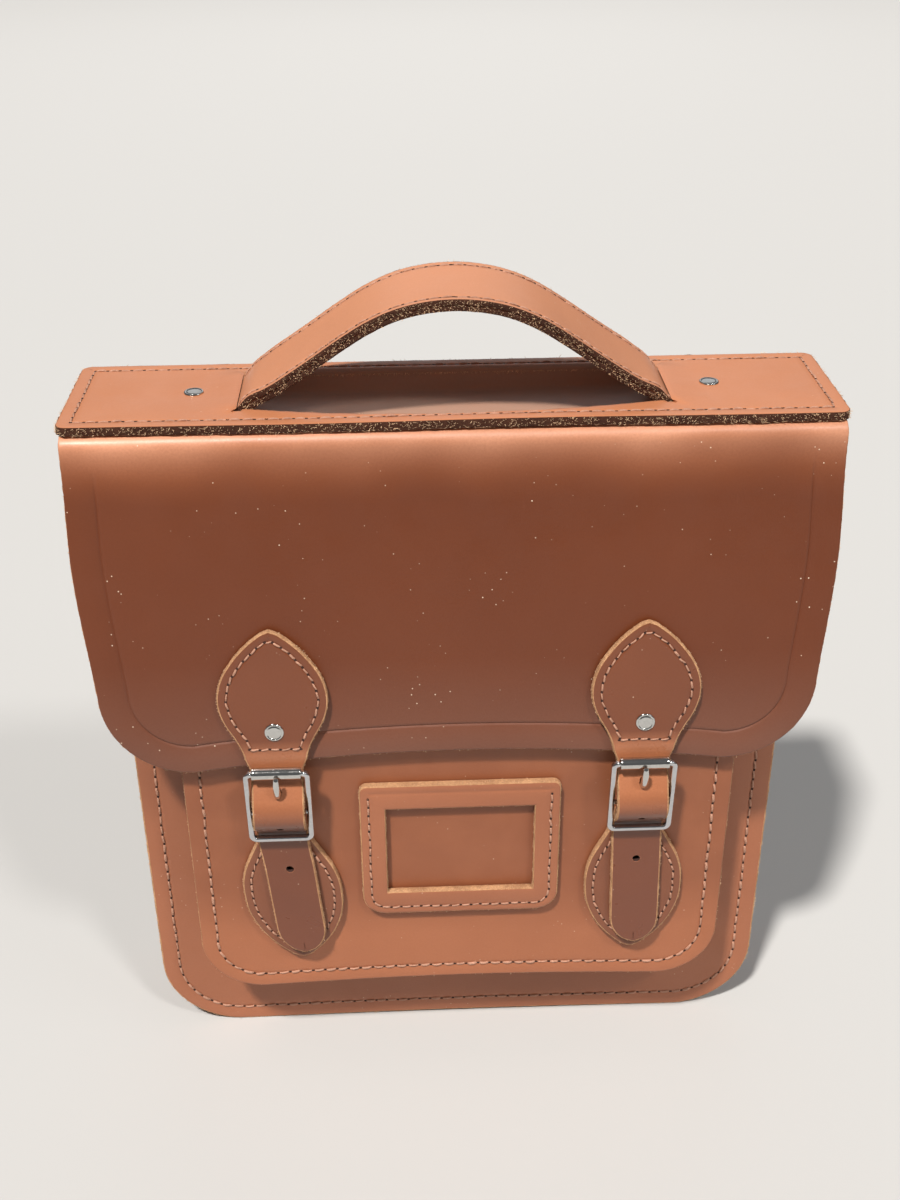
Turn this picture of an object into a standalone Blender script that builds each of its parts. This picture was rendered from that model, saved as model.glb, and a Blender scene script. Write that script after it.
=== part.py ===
"""Satchel bag: leather body, front pocket, two-part flap, carrying handle and two buckled straps.

Metres. X is across the bag, -Y is the front, +Z is up, the ground is z = 0.
Lengths below are in millimetres, in a working frame whose y = 0 is the front edge of the top band.
"""

import math

import bmesh
import bpy
from mathutils import Matrix, Vector

MM = 0.001
GAP = 0.3

# leather and frame
LEATHER = 3.0
STRAP_THICK = 2.6
Y_CENTRE = 14.3  # working y that becomes world y = 0

# body
PANEL_HALF = 124.6
PANEL_TOP = 262.0
PANEL_CORNER = 32.6
FRONT_Y = 7.0
BACK_Y = 60.0
RIM = 10.0

# pocket
POCKET_HALF = 103.1
POCKET_BOTTOM = 40.4
POCKET_TOP = 172.0
POCKET_CORNER = 23.6
POCKET_Y = -15.2
POCKET_RIM = 8.0

# label frame on the pocket
LABEL_HALF, LABEL_LOW, LABEL_HIGH = 38.0, 79.5, 141.5
WINDOW_HALF, WINDOW_LOW, WINDOW_HIGH = 28.15, 90.5, 130.6

# top of the bag
BAND_HALF, BAND_DEPTH, BAND_TOP, BAND_THICK = 135.0, 58.0, 280.0, 3.3
FLAP_HALF = 134.0
FLAP_LOW, FLAP_BOW, FLAP_CORNER = 152.3, 6.2, 33.0
FOLD_R = 3.0
FOLD_Z = BAND_TOP - BAND_THICK - GAP - LEATHER / 2 - FOLD_R
TROUGH = 7.5
SLOT_IN, SLOT_OUT = 73.5, 79.0
SLOT_Y0, SLOT_Y1 = 13.0, 47.0
BULGE = 1.2
RECESS = 3.1

# handle
HANDLE_WIDTH = 31.0
HANDLE_LAYER = 2.1
HANDLE_Y = 30.0
HANDLE_LEAN = math.radians(7.0)
HANDLE_END = 60.0
BAND_RIVET_X = 91.4
RIVET_R = 3.5

# straps
STRAP_X = 67.0
STRAP_HALF = 9.5
HEAD_LOW = 160.5
HEAD_RIVET_Z = 170.0

# buckle, in the y-z plane
BAR_R = 1.3
CENTRE_R = 1.0
TOP_BAR = (-27.0, 155.2)
CENTRE_BAR = (-25.2, 136.5)
BOTTOM_BAR = (-23.9, 123.2)
BUCKLE_HALF = 11.1
ROLLER_R = 2.25
ROLLER_HALF = 9.0
TOP_CORNER, LOW_CORNER = 1.9, 2.1
PRONG_TOP = (-30.8, 156.4)
PRONG_ROOT = (-26.1, 138.6)


def clear_scene():
    for obj in list(bpy.data.objects):
        bpy.data.objects.remove(obj, do_unlink=True)
    for name in ("satchel_bag", "cutters"):
        bpy.context.scene.collection.children.link(bpy.data.collections.new(name))


def material(name, colour, rough, metal):
    mat = bpy.data.materials.new(name)
    mat.use_nodes = True
    shader = mat.node_tree.nodes["Principled BSDF"]
    shader.inputs["Base Color"].default_value = (*colour, 1.0)
    shader.inputs["Roughness"].default_value = rough
    shader.inputs["Metallic"].default_value = metal
    mat.diffuse_color = (*colour, 1.0)
    mat.roughness = rough
    mat.metallic = metal
    return mat


def world(x, y, z):
    return Vector((x, y - Y_CENTRE, z)) * MM


def add(name, bm, mat, origin=(0.0, Y_CENTRE, 0.0)):
    """An object of the bag, from a mesh in working millimetres, with its origin at the working point given."""
    centre = world(*origin)
    for v in bm.verts:
        v.co = world(*v.co) - centre
    bmesh.ops.recalc_face_normals(bm, faces=bm.faces)
    mesh = bpy.data.meshes.new(name)
    bm.to_mesh(mesh)
    bm.free()
    obj = bpy.data.objects.new(name, mesh)
    obj.location = centre
    if mat:
        mesh.materials.append(mat)
        bpy.data.collections["satchel_bag"].objects.link(obj)
    else:
        bpy.data.collections["cutters"].objects.link(obj)
        obj.hide_render = True
        obj.display_type = "WIRE"
    return obj


def solidify(obj, thick):
    mod = obj.modifiers.new("thickness", "SOLIDIFY")
    mod.thickness = thick * MM
    mod.offset = 0.0
    mod.use_even_offset = True


def soften(obj, width=0.45, segments=1, angle=50.0):
    mod = obj.modifiers.new("soft edges", "BEVEL")
    mod.width = width * MM
    mod.segments = segments
    mod.limit_method = "ANGLE"
    mod.angle_limit = math.radians(angle)
    mod.use_clamp_overlap = True


def cut(obj, cutter):
    mod = obj.modifiers.new("cut " + cutter.name, "BOOLEAN")
    mod.operation = "DIFFERENCE"
    mod.solver = "EXACT"
    mod.object = cutter


def join(obj, other):
    mod = obj.modifiers.new("join " + other.name, "BOOLEAN")
    mod.operation = "UNION"
    mod.solver = "EXACT"
    mod.object = other


def smooth(a, b, x):
    t = min(1.0, max(0.0, (x - a) / (b - a)))
    return t * t * (3 - 2 * t)


def between(knots, x):
    """Smooth curve through (x, value) knots that rise in x."""
    if x <= knots[0][0]:
        return knots[0][1]
    for i in range(len(knots) - 1):
        (x0, v0), (x1, v1) = knots[i], knots[i + 1]
        if x <= x1:
            before = knots[i - 1] if i else (2 * x0 - x1, 2 * v0 - v1)
            after = knots[i + 2] if i + 2 < len(knots) else (2 * x1 - x0, 2 * v1 - v0)
            m0 = (v1 - before[1]) / (x1 - before[0]) * (x1 - x0)
            m1 = (after[1] - v0) / (after[0] - x0) * (x1 - x0)
            t = (x - x0) / (x1 - x0)
            a = (2 * t**3 - 3 * t**2 + 1) * v0 + (t**3 - 2 * t**2 + t) * m0
            return a + (3 * t**2 - 2 * t**3) * v1 + (t**3 - t**2) * m1
    return knots[-1][1]


def rounded(corners, steps=7):
    """Outline from (a, b, radius) corners, each turned into an arc."""
    points = []
    count = len(corners)
    for i, (a, b, r) in enumerate(corners):
        here = Vector((a, b))
        back = Vector(corners[i - 1][:2]) - here
        ahead = Vector(corners[(i + 1) % count][:2]) - here
        if r < 0.05:
            points.append((a, b))
            continue
        back.normalize()
        ahead.normalize()
        half = back.angle(ahead) / 2
        reach = r / math.tan(half)
        start, end = here + back * reach, here + ahead * reach
        centre = here + (back + ahead).normalized() * (r / math.sin(half))
        a0 = math.atan2(start.y - centre.y, start.x - centre.x)
        a1 = math.atan2(end.y - centre.y, end.x - centre.x)
        turn = (a1 - a0 + math.pi) % (2 * math.pi) - math.pi
        for k in range(steps + 1):
            angle = a0 + turn * k / steps
            points.append((centre.x + r * math.cos(angle), centre.y + r * math.sin(angle)))
    return points


def leaf(knots, steps):
    """Symmetric outline from (level, half width) knots, lowest level first."""
    low, high = knots[0][0], knots[-1][0]
    levels = [low + (high - low) * (0.5 - 0.5 * math.cos(math.pi * k / steps)) for k in range(steps + 1)]
    right = [(max(0.0, between(knots, z)), z) for z in levels]
    left = [(-x, z) for x, z in reversed(right) if x > 0.01]
    return [p for p in right if p[0] > 0.01 or p[1] in (low, high)] + left


def sheet(outline, place, cuts_a=(), cuts_b=()):
    """Face with this outline, split along the levels given, its points then placed in space by place(a, b)."""
    bm = bmesh.new()
    bm.faces.new([bm.verts.new((a, b, 0.0)) for a, b in outline])
    for axis, levels in ((0, cuts_a), (1, cuts_b)):
        normal = (1.0, 0.0, 0.0) if axis == 0 else (0.0, 1.0, 0.0)
        for level in levels:
            point = tuple(level * c for c in normal)
            geometry = bm.verts[:] + bm.edges[:] + bm.faces[:]
            bmesh.ops.bisect_plane(bm, geom=geometry, dist=0.02, plane_co=point, plane_no=normal)
    for v in bm.verts:
        v.co = place(v.co.x, v.co.y)
    return bm


def ribbon(path, widths, thicks, across):
    """Strap along a path in a plane, its width across that plane. Points are (u, v), made 3-D by across(u, v, w)."""
    bm = bmesh.new()
    rows = []
    for i, (u, v) in enumerate(path):
        p0 = Vector(path[max(0, i - 1)])
        p1 = Vector(path[min(len(path) - 1, i + 1)])
        along = (p1 - p0).normalized()
        side = Vector((-along.y, along.x)) * (thicks[i] / 2)
        half = widths[i] / 2
        ring = []
        for sign, w in ((1, -half), (1, half), (-1, half), (-1, -half)):
            ring.append(bm.verts.new(across(u + sign * side.x, v + sign * side.y, w)))
        rows.append(ring)
    for a, b in zip(rows, rows[1:]):
        for k in range(4):
            bm.faces.new((a[k], a[(k + 1) % 4], b[(k + 1) % 4], b[k]))
    bm.faces.new(rows[0])
    bm.faces.new(list(reversed(rows[-1])))
    return bm


def spread(path, count):
    """Points spaced evenly along a smooth curve through the points given."""
    curve = []
    last = len(path) - 1
    for i in range(last):
        p = [Vector(path[max(0, i - 1)]), Vector(path[i]), Vector(path[i + 1]), Vector(path[min(last, i + 2)])]
        for k in range(12):
            t = k / 12
            a = p[1] * 2 + (p[2] - p[0]) * t
            b = (p[0] * 2 - p[1] * 5 + p[2] * 4 - p[3]) * t * t
            c = (p[1] * 3 - p[0] - p[2] * 3 + p[3]) * t**3
            curve.append((a + b + c) / 2)
    curve.append(Vector(path[last]))
    length = [0.0]
    for a, b in zip(curve, curve[1:]):
        length.append(length[-1] + (b - a).length)
    out = []
    at = 0
    for k in range(count + 1):
        goal = length[-1] * k / count
        while at < len(curve) - 2 and length[at + 1] < goal:
            at += 1
        t = (goal - length[at]) / max(1e-9, length[at + 1] - length[at])
        point = curve[at].lerp(curve[at + 1], min(1.0, t))
        out.append((point.x, point.y))
    return out


def cylinder(start, end, radius, radius_end=None, sides=20):
    bm = bmesh.new()
    a, b = Vector(start), Vector(end)
    turn = (b - a).to_track_quat("Z", "Y").to_matrix().to_4x4()
    place = Matrix.Translation((a + b) / 2) @ turn
    end_radius = radius if radius_end is None else radius_end
    bmesh.ops.create_cone(
        bm, cap_ends=True, segments=sides, radius1=radius, radius2=end_radius,
        depth=(b - a).length, matrix=place,
    )
    return bm


def box(low, high):
    bm = bmesh.new()
    middle = [(a + b) / 2 for a, b in zip(low, high)]
    size = [b - a for a, b in zip(low, high)]
    bmesh.ops.create_cube(bm, size=1.0, matrix=Matrix.Translation(middle) @ Matrix.Diagonal((*size, 1.0)))
    return bm


def turned(name, profile, centre, axis, mat, origin, sides=24):
    """Turned piece: (radius, height) profile from the bottom up, spun about an axis through centre."""
    bm = bmesh.new()
    turn = Vector(axis).to_track_quat("Z", "Y").to_matrix()
    rings = []
    for r, h in profile:
        if r < 1e-6:
            rings.append([bm.verts.new(Vector(centre) + turn @ Vector((0, 0, h)))])
            continue
        ring = []
        for k in range(sides):
            a = 2 * math.pi * k / sides
            ring.append(bm.verts.new(Vector(centre) + turn @ Vector((r * math.cos(a), r * math.sin(a), h))))
        rings.append(ring)
    for low, high in zip(rings, rings[1:]):
        for k in range(sides):
            n = (k + 1) % sides
            if len(low) == 1:
                bm.faces.new((low[0], high[n], high[k]))
            elif len(high) == 1:
                bm.faces.new((low[k], low[n], high[0]))
            else:
                bm.faces.new((low[k], low[n], high[n], high[k]))
    return add(name, bm, mat, origin)


FLAP_Y = (
    (150.0, -21.2), (160.0, -20.3), (172.0, -19.2), (185.0, -17.8), (200.0, -15.6),
    (215.0, -13.0), (230.0, -10.0), (245.0, -6.7), (258.0, -3.9), (266.0, -2.5), (272.0, -2.0),
)


def flap_face(z):
    """Working y of the flap's outer face at this height."""
    return between(FLAP_Y, z)


def dip(x, y):
    """How far the band's middle sags between the two handle slots."""
    along = 1 - smooth(SLOT_IN - 1.0, SLOT_OUT - 1.8, abs(x))
    return TROUGH * along * smooth(6, 17, y) * (1 - smooth(41, 52, y))


def swell(x, y):
    """How far the band is lifted by the handle end under it."""
    inward = smooth(SLOT_OUT - 3, SLOT_OUT - 0.6, abs(x)) * (1 - smooth(SLOT_OUT, 87, abs(x)))
    return BULGE * inward * smooth(8, 16, y) * (1 - smooth(44, 52, y))


def under(x, y):
    """How far the flap leather under the band is pushed down, by the dip and by the handle ends."""
    ends = RECESS * (1 - smooth(104, 114, abs(x))) * smooth(5, 12, y) * (1 - smooth(48, 55, y))
    deep = 1.1 * TROUGH * (1 - smooth(75.5, 84.0, abs(x)))
    return max(ends, deep * smooth(3.6, 14.6, y) * (1 - smooth(43.4, 54.4, y)))


def u_path(half, bottom, corner, top, inset, steps=7):
    """Points of a U, from the top left down, round and up to the top right, moved inwards by inset."""
    h, b, r = half - inset, bottom + inset, corner - inset
    points = [(-h, top)]
    for k in range(steps + 1):
        a = math.pi + math.pi / 2 * k / steps
        points.append((-h + r + r * math.cos(a), b + r + r * math.sin(a)))
    for k in range(steps + 1):
        a = 1.5 * math.pi + math.pi / 2 * k / steps
        points.append((h - r + r * math.cos(a), b + r + r * math.sin(a)))
    points.append((h, top))
    return points


def u_strip(half, bottom, corner, top, profile):
    """Folded strip that follows a U: profile lists (inset, y) points across it."""
    bm = bmesh.new()
    lines = []
    for inset, y in profile:
        line = [bm.verts.new((x, y, z)) for x, z in u_path(half, bottom, corner, top, inset)]
        lines.append(line)
    for a, b in zip(lines, lines[1:]):
        for k in range(len(a) - 1):
            bm.faces.new((a[k], a[k + 1], b[k + 1], b[k]))
    return bm


def panel_outline(half, bottom, corner, top, top_corner):
    return rounded(((-half, top, top_corner), (-half, bottom, corner), (half, bottom, corner), (half, top, top_corner)))


# ------------------------------------------------------------------ body


def build_body(leather, edge):
    front = add(
        "front_panel",
        sheet(
            panel_outline(PANEL_HALF, 0.0, PANEL_CORNER, PANEL_TOP, 6.0),
            lambda x, z: (x, FRONT_Y + LEATHER / 2, z),
        ),
        leather,
    )
    solidify(front, LEATHER)
    soften(front)

    fold = FOLD_Z - GAP
    outline = rounded(
        (
            (-FLAP_HALF, fold, 0.0), (-FLAP_HALF, 262.0, 3.0), (-PANEL_HALF, 250.0, 6.0), (-PANEL_HALF, 0.0, PANEL_CORNER),
            (PANEL_HALF, 0.0, PANEL_CORNER), (PANEL_HALF, 250.0, 6.0), (FLAP_HALF, 262.0, 3.0), (FLAP_HALF, fold, 0.0),
        )
    )
    back = add("back_panel", sheet(outline, lambda x, z: (x, BACK_Y - LEATHER / 2, z)), leather)
    solidify(back, LEATHER)
    soften(back)

    y0 = FRONT_Y + LEATHER + GAP + LEATHER / 2
    y1 = BACK_Y - LEATHER - GAP - LEATHER / 2
    profile = (
        (0.0, y0), (RIM - 3.0, y0), (RIM - 0.9, y0 + 0.9), (RIM, y0 + 3.0),
        (RIM, y1 - 3.0), (RIM - 0.9, y1 - 0.9), (RIM - 3.0, y1), (0.0, y1),
    )
    gusset = add("main_gusset", u_strip(PANEL_HALF, 0.0, PANEL_CORNER, PANEL_TOP, profile), edge)
    solidify(gusset, LEATHER)


def build_pocket(leather, edge):
    front = add(
        "pocket_front",
        sheet(
            panel_outline(POCKET_HALF, POCKET_BOTTOM, POCKET_CORNER, POCKET_TOP, 5.0),
            lambda x, z: (x, POCKET_Y + LEATHER / 2, z),
        ),
        leather,
    )
    solidify(front, LEATHER)
    soften(front)

    y0 = POCKET_Y + LEATHER + GAP + LEATHER / 2
    y1 = FRONT_Y - GAP - LEATHER / 2
    r = POCKET_RIM
    profile = (
        (0.0, y0), (r - 2.6, y0), (r - 0.8, y0 + 0.8), (r, y0 + 2.6),
        (r, y1 - 2.6), (r + 0.8, y1 - 0.8), (r + 2.6, y1), (r + 9.0, y1),
    )
    bm = u_strip(POCKET_HALF, POCKET_BOTTOM, POCKET_CORNER, POCKET_TOP, profile)
    gusset = add("pocket_gusset", bm, edge)
    solidify(gusset, LEATHER)

    outer = rounded(
        (
            (-LABEL_HALF, LABEL_HIGH, 3.0), (-LABEL_HALF, LABEL_LOW, 9.0),
            (LABEL_HALF, LABEL_LOW, 9.0), (LABEL_HALF, LABEL_HIGH, 3.0),
        ),
        6,
    )
    middle = POCKET_Y - GAP - LEATHER / 2
    label = add("id_frame", sheet(outer, lambda x, z: (x, middle, z)), leather)
    solidify(label, LEATHER)
    window = add(
        "window_cutter",
        box((-WINDOW_HALF, middle - 6, WINDOW_LOW), (WINDOW_HALF, middle + 6, WINDOW_HIGH)),
        None,
    )
    cut(label, window)
    soften(label)


# ------------------------------------------------------------------ top and handle


def build_top(leather, metal):
    steps_x = [s * v for s in (-1, 1) for v in (SLOT_IN - 1.0, 74.8, SLOT_OUT - 1.8, 78.4, 80.0, 83.0, 87.0, 112.0)]
    steps_x += [0.0, 71.0, -71.0]
    steps_y = [4.0, 6.0, 8.0, 10.0, 12.0, 14.5, 17.0, 41.0, 43.5, 46.0, 48.0, 50.0, 52.0, 54.5]
    outline = rounded(
        (
            (-BAND_HALF, BAND_DEPTH, 4.0), (-BAND_HALF, 0.0, 4.0),
            (BAND_HALF, 0.0, 4.0), (BAND_HALF, BAND_DEPTH, 4.0),
        ),
        4,
    )
    middle = BAND_TOP - BAND_THICK / 2
    band = add(
        "top_band",
        sheet(outline, lambda x, y: (x, y, middle - dip(x, y) + swell(x, y)), steps_x, steps_y),
        leather,
        (0.0, BACK_Y, FOLD_Z),
    )
    solidify(band, BAND_THICK)

    # the flap leather under the band, with both folds
    centre_z = FOLD_Z
    front_c = -2.0 + LEATHER / 2 + FOLD_R
    rear_c = BACK_Y - LEATHER / 2 - FOLD_R
    quarter = FOLD_R * math.pi / 2
    length = 2 * quarter + rear_c - front_c

    def place(x, s):
        if s < quarter:
            a = s / FOLD_R
            return (x, front_c - FOLD_R * math.cos(a), centre_z + FOLD_R * math.sin(a))
        if s > length - quarter:
            a = (length - s) / FOLD_R
            return (x, rear_c + FOLD_R * math.cos(a), centre_z + FOLD_R * math.sin(a))
        y = front_c + s - quarter
        return (x, y, centre_z + FOLD_R - under(x, y))

    outline = ((-FLAP_HALF, length), (-FLAP_HALF, 0.0), (FLAP_HALF, 0.0), (FLAP_HALF, length))
    steps_s = [quarter * k / 4 for k in range(1, 5)] + [length - quarter * k / 4 for k in range(1, 5)]
    steps_s += [quarter + v - front_c for v in steps_y]
    steps_x += [s * v for s in (-1, 1) for v in (104.0, 107.5, 114.0)]
    top = add("flap_top", sheet(outline, place, steps_x, steps_s), leather, (0.0, BACK_Y, FOLD_Z))
    solidify(top, LEATHER)

    for side, s in (("left", -1), ("right", 1)):
        x0, x1 = sorted((s * SLOT_IN, s * SLOT_OUT))
        slot = add("slot_cutter_" + side, box((x0, SLOT_Y0, 255.0), (x1, SLOT_Y1, 300.0)), None)
        cut(band, slot)
        x = s * BAND_RIVET_X
        bore = add("bore_cutter_" + side, cylinder((x, HANDLE_Y, 250.0), (x, HANDLE_Y, 300.0), 1.8, sides=16), None)
        cut(band, bore)
        cut(top, bore)
        handle_end(side, s, leather, bore)
        lift = BAND_TOP + swell(x, HANDLE_Y) + 0.2
        foot = centre_z + FOLD_R - LEATHER / 2 - RECESS - 0.3
        profile = (
            (0.0, foot - 1.0), (2.6, foot - 1.0), (3.2, foot - 0.5), (3.2, foot), (1.4, foot),
            (1.4, lift), (RIVET_R, lift), (RIVET_R, lift + 0.5), (3.0, lift + 1.0),
            (1.8, lift + 1.4), (0.0, lift + 1.55),
        )
        turned("band_rivet_" + side, profile, (x, HANDLE_Y, 0.0), (0, 0, 1), metal, (0.0, BACK_Y, FOLD_Z), 20)


HANDLE_RISE = (
    (0.0, 40.5), (10.0, 39.7), (20.0, 37.2), (30.0, 32.6), (40.0, 26.1), (50.0, 18.9),
    (60.0, 11.9), (66.0, 7.9), (71.0, 4.7),
)


def lean(x, z, w):
    """Point of the handle: x across, z up, w along its width, all leaned forwards about the handle's foot."""
    up = z - BAND_TOP
    y = w * math.cos(HANDLE_LEAN) - up * math.sin(HANDLE_LEAN)
    return (x, HANDLE_Y + y, BAND_TOP + w * math.sin(HANDLE_LEAN) + up * math.cos(HANDLE_LEAN))


def build_handle(leather):
    # points of the outer surface, then each layer's middle line at its own depth below it
    xs = [-HANDLE_END + 2 * HANDLE_END * k / 26 for k in range(27)]
    surface = [(x, BAND_TOP + between(HANDLE_RISE, abs(x))) for x in xs]
    for name, depth in (("handle_outer", HANDLE_LAYER / 2), ("handle_lining", HANDLE_LAYER * 1.5 + 0.15)):
        path = []
        for i, (x, z) in enumerate(surface):
            p0, p1 = Vector(surface[max(0, i - 1)]), Vector(surface[min(len(surface) - 1, i + 1)])
            along = (p1 - p0).normalized()
            path.append((x + along.y * depth, z - along.x * depth))
        count = len(path)
        obj = add(
            name,
            ribbon(path, [HANDLE_WIDTH] * count, [HANDLE_LAYER] * count, lean),
            leather,
            (0.0, HANDLE_Y, BAND_TOP),
        )
        soften(obj, 0.4, 1, 60.0)


def handle_end(side, s, leather, bore):
    path = spread(
        (
            (60.0 - 0.95, 289.65), (66.0, 285.4), (71.5, 281.2), (76.0, 277.8), (80.0, 275.7),
            (84.5, 274.9), (91.0, 274.75), (104.0, 274.75),
        ),
        18,
    )
    thick = [max(2.2, 4.3 - 2.1 * smooth(62, 78, u)) for u, v in path]
    wide = [HANDLE_WIDTH - 5.0 * smooth(97.0, 104.0, u) for u, v in path]

    def place(u, v, w):
        x, y, z = lean(s * u, v, w)
        back = smooth(61.0, 78.0, u)
        return (x, y * (1 - back) + (HANDLE_Y + w) * back, z * (1 - back) + v * back)

    obj = add("handle_end_" + side, ribbon(path, wide, thick, place), leather, (0.0, HANDLE_Y, BAND_TOP))
    cut(obj, bore)
    return obj


# ------------------------------------------------------------------ flap and straps


HEAD = (
    (HEAD_LOW, 11.6), (162.5, 12.2), (167.5, 14.4), (172.5, 17.2), (177.5, 19.1), (182.5, 19.8),
    (187.5, 19.2), (192.5, 17.4), (197.5, 14.2), (202.5, 9.9), (206.5, 5.2), (208.5, 2.0), (209.1, 0.0),
)


def build_flap(leather, metal):
    low, corner = FLAP_LOW, FLAP_CORNER
    outline = [(-FLAP_HALF, FOLD_Z - GAP)]

    def side(z):
        return FLAP_HALF - 6.0 * smooth(240, 165, z)

    for k in range(7):
        z = 262.0 - (262.0 - low - corner) * k / 6
        outline.append((-side(z), z))
    edge = side(low + corner)
    for k in range(1, 10):
        a = math.pi + math.pi / 2 * k / 9
        outline.append((-edge + corner + corner * math.cos(a), low + corner + corner * math.sin(a)))
    for k in range(1, 12):
        x = (-edge + corner) * (1 - k / 12)
        outline.append((x, low + FLAP_BOW * (1 - (x / (edge - corner)) ** 2)))
    outline.append((0.0, low + FLAP_BOW))
    outline += [(-x, z) for x, z in reversed(outline[:-1])]
    levels = [160.0, 168.0, 176.0, 185.0, 195.0, 205.0, 215.0, 225.0, 235.0, 245.0, 253.0, 260.0, 266.0]
    pivot = (0.0, -2.0, FOLD_Z - GAP / 2)
    flap = add(
        "flap_front",
        sheet(outline, lambda x, z: (x, flap_face(z) + LEATHER / 2, z), (), levels),
        leather,
        pivot,
    )
    solidify(flap, LEATHER)
    for name, s in (("left", -1), ("right", 1)):
        x = s * STRAP_X
        head = add(
            "strap_head_" + name,
            sheet(
                leaf(HEAD, 26),
                lambda u, z, x=x: (x + u, flap_face(z) - GAP - LEATHER / 2, z),
                (),
                (165.5, 170.5, 176.5, 182.5, 188.5, 195.5, 202.5),
            ),
            leather,
            pivot,
        )
        solidify(head, LEATHER - 0.2)
        y = flap_face(HEAD_RIVET_Z)
        slope = (flap_face(HEAD_RIVET_Z + 2) - flap_face(HEAD_RIVET_Z - 2)) / 4
        out = Vector((0, -1, slope)).normalized()
        centre = Vector((x, y, HEAD_RIVET_Z))
        bore = add(
            "strap_bore_" + name,
            cylinder(centre - out * 12, centre + out * 12, 1.8, sides=16),
            None,
        )
        cut(flap, bore)
        cut(head, bore)
        cap = GAP + LEATHER + 0.15
        profile = (
            (0.0, -LEATHER - 0.95), (2.6, -LEATHER - 0.95), (3.1, -LEATHER - 0.6), (3.1, -LEATHER - 0.15),
            (1.4, -LEATHER - 0.15), (1.4, cap), (RIVET_R, cap), (RIVET_R, cap + 0.5), (3.0, cap + 1.0),
            (1.8, cap + 1.4), (0.0, cap + 1.55),
        )
        turned("strap_rivet_" + name, profile, centre, out, metal, pivot, 20)


TAIL = (
    (-22.35, HEAD_LOW - GAP), (-22.4, 157.4), (-22.5, 154.6), (-22.9, 151.8), (-23.9, 148.8),
    (-25.6, 145.8), (-27.3, 142.8), (-28.7, 139.8), (-29.5, 136.6), (-28.9, 133.6), (-26.9, 130.8), (-24.2, 128.4),
    (-21.9, 126.2), (-20.9, 123.8), (-20.25, 120.5), (-20.1, 116.0), (-20.1, 106.0), (-20.1, 92.0),
    (-20.1, 78.0), (-20.1, 70.0), (-20.1, 63.4),
)
TIP = ((63.4, 1.0), (64.4, 3.2), (66.4, 5.8), (69.0, 7.7), (72.0, 8.9), (76.0, STRAP_HALF))


def build_tail(side, s, leather):
    x = s * STRAP_X
    path = spread(TAIL, 64)
    low = [p for p in path if p[1] > 76.0]
    path = low + [(-20.1, z) for z in (76.0, 74.0, 72.0, 70.3, 68.8, 67.4, 66.2, 65.2, 64.4, 63.8, 63.4)]

    def width(z):
        if z < 76.0:
            return 2 * between(TIP, z)
        return 2 * (STRAP_HALF + 2.0 * smooth(HEAD_LOW - 7.5, HEAD_LOW, z))

    hinge = (x, -22.35, HEAD_LOW - GAP / 2)
    tail = add(
        "strap_tail_" + side,
        ribbon(
            path, [width(z) for y, z in path], [STRAP_THICK] * len(path),
            lambda y, z, w: (x + w, y, z),
        ),
        leather,
        hinge,
    )
    root, top = Vector((x, *PRONG_ROOT)), Vector((x, *PRONG_TOP))
    along = (top - root).normalized()
    slot = add("prong_hole_" + side, cylinder(root - along * 1.5, top + along * 4, 1.5, sides=16), None)
    cut(tail, slot)
    for k, (y, z, dy, dz) in enumerate(((-24.1, 128.3, -0.7, -0.7), (-20.1, 106.0, -1.0, 0.0))):
        out = Vector((0.0, dy, dz)).normalized()
        centre = Vector((x, y, z))
        hole = add(f"strap_hole_{k}_{side}", cylinder(centre - out * 4, centre + out * 4, 1.4, sides=14), None)
        cut(tail, hole)


PAD = (
    (58.5, 0.0), (59.2, 2.4), (61.5, 5.6), (65.0, 9.2), (70.0, 13.1), (76.0, 16.2), (83.0, 18.4),
    (90.0, 19.0), (97.0, 18.7), (104.0, 16.9), (111.0, 13.6), (117.0, 10.6), (123.0, 8.6), (127.0, 8.0),
)


def build_chape(side, s, leather):
    x = s * STRAP_X
    middle = POCKET_Y - GAP - LEATHER / 2
    levels = (65.0, 72.0, 80.0, 90.0, 100.0, 108.0, 114.0, 120.0, 124.0)
    pad = add(
        "chape_pad_" + side,
        sheet(leaf(PAD, 26), lambda u, z: (x + u, middle, z), (), levels),
        leather,
    )
    solidify(pad, LEATHER)
    cy, cz = CENTRE_BAR
    path = [(middle, 124.2), (-17.3, 126.4), (-18.7, 128.9), (-20.6, 131.2), (-22.3, 133.3)]
    for degrees in range(-28, 250, 18):
        a = math.radians(degrees)
        path.append((cy + 1.95 * math.cos(a), cz + 1.95 * math.sin(a)))
    count = len(path)
    thick = [2.4, 2.2, 1.9, 1.6, 1.4] + [1.4] * (count - 5)
    loop = add(
        "chape_loop_" + side,
        ribbon(path, [15.6] * count, thick, lambda y, z, w: (x + w, y, z)),
        None,
    )
    slit = add("chape_slit_" + side, box((x - 1.75, -30.0, 133.2), (x + 1.75, -20.0, 142.0)), None)
    cut(loop, slit)
    join(pad, loop)


# ------------------------------------------------------------------ buckles


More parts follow.
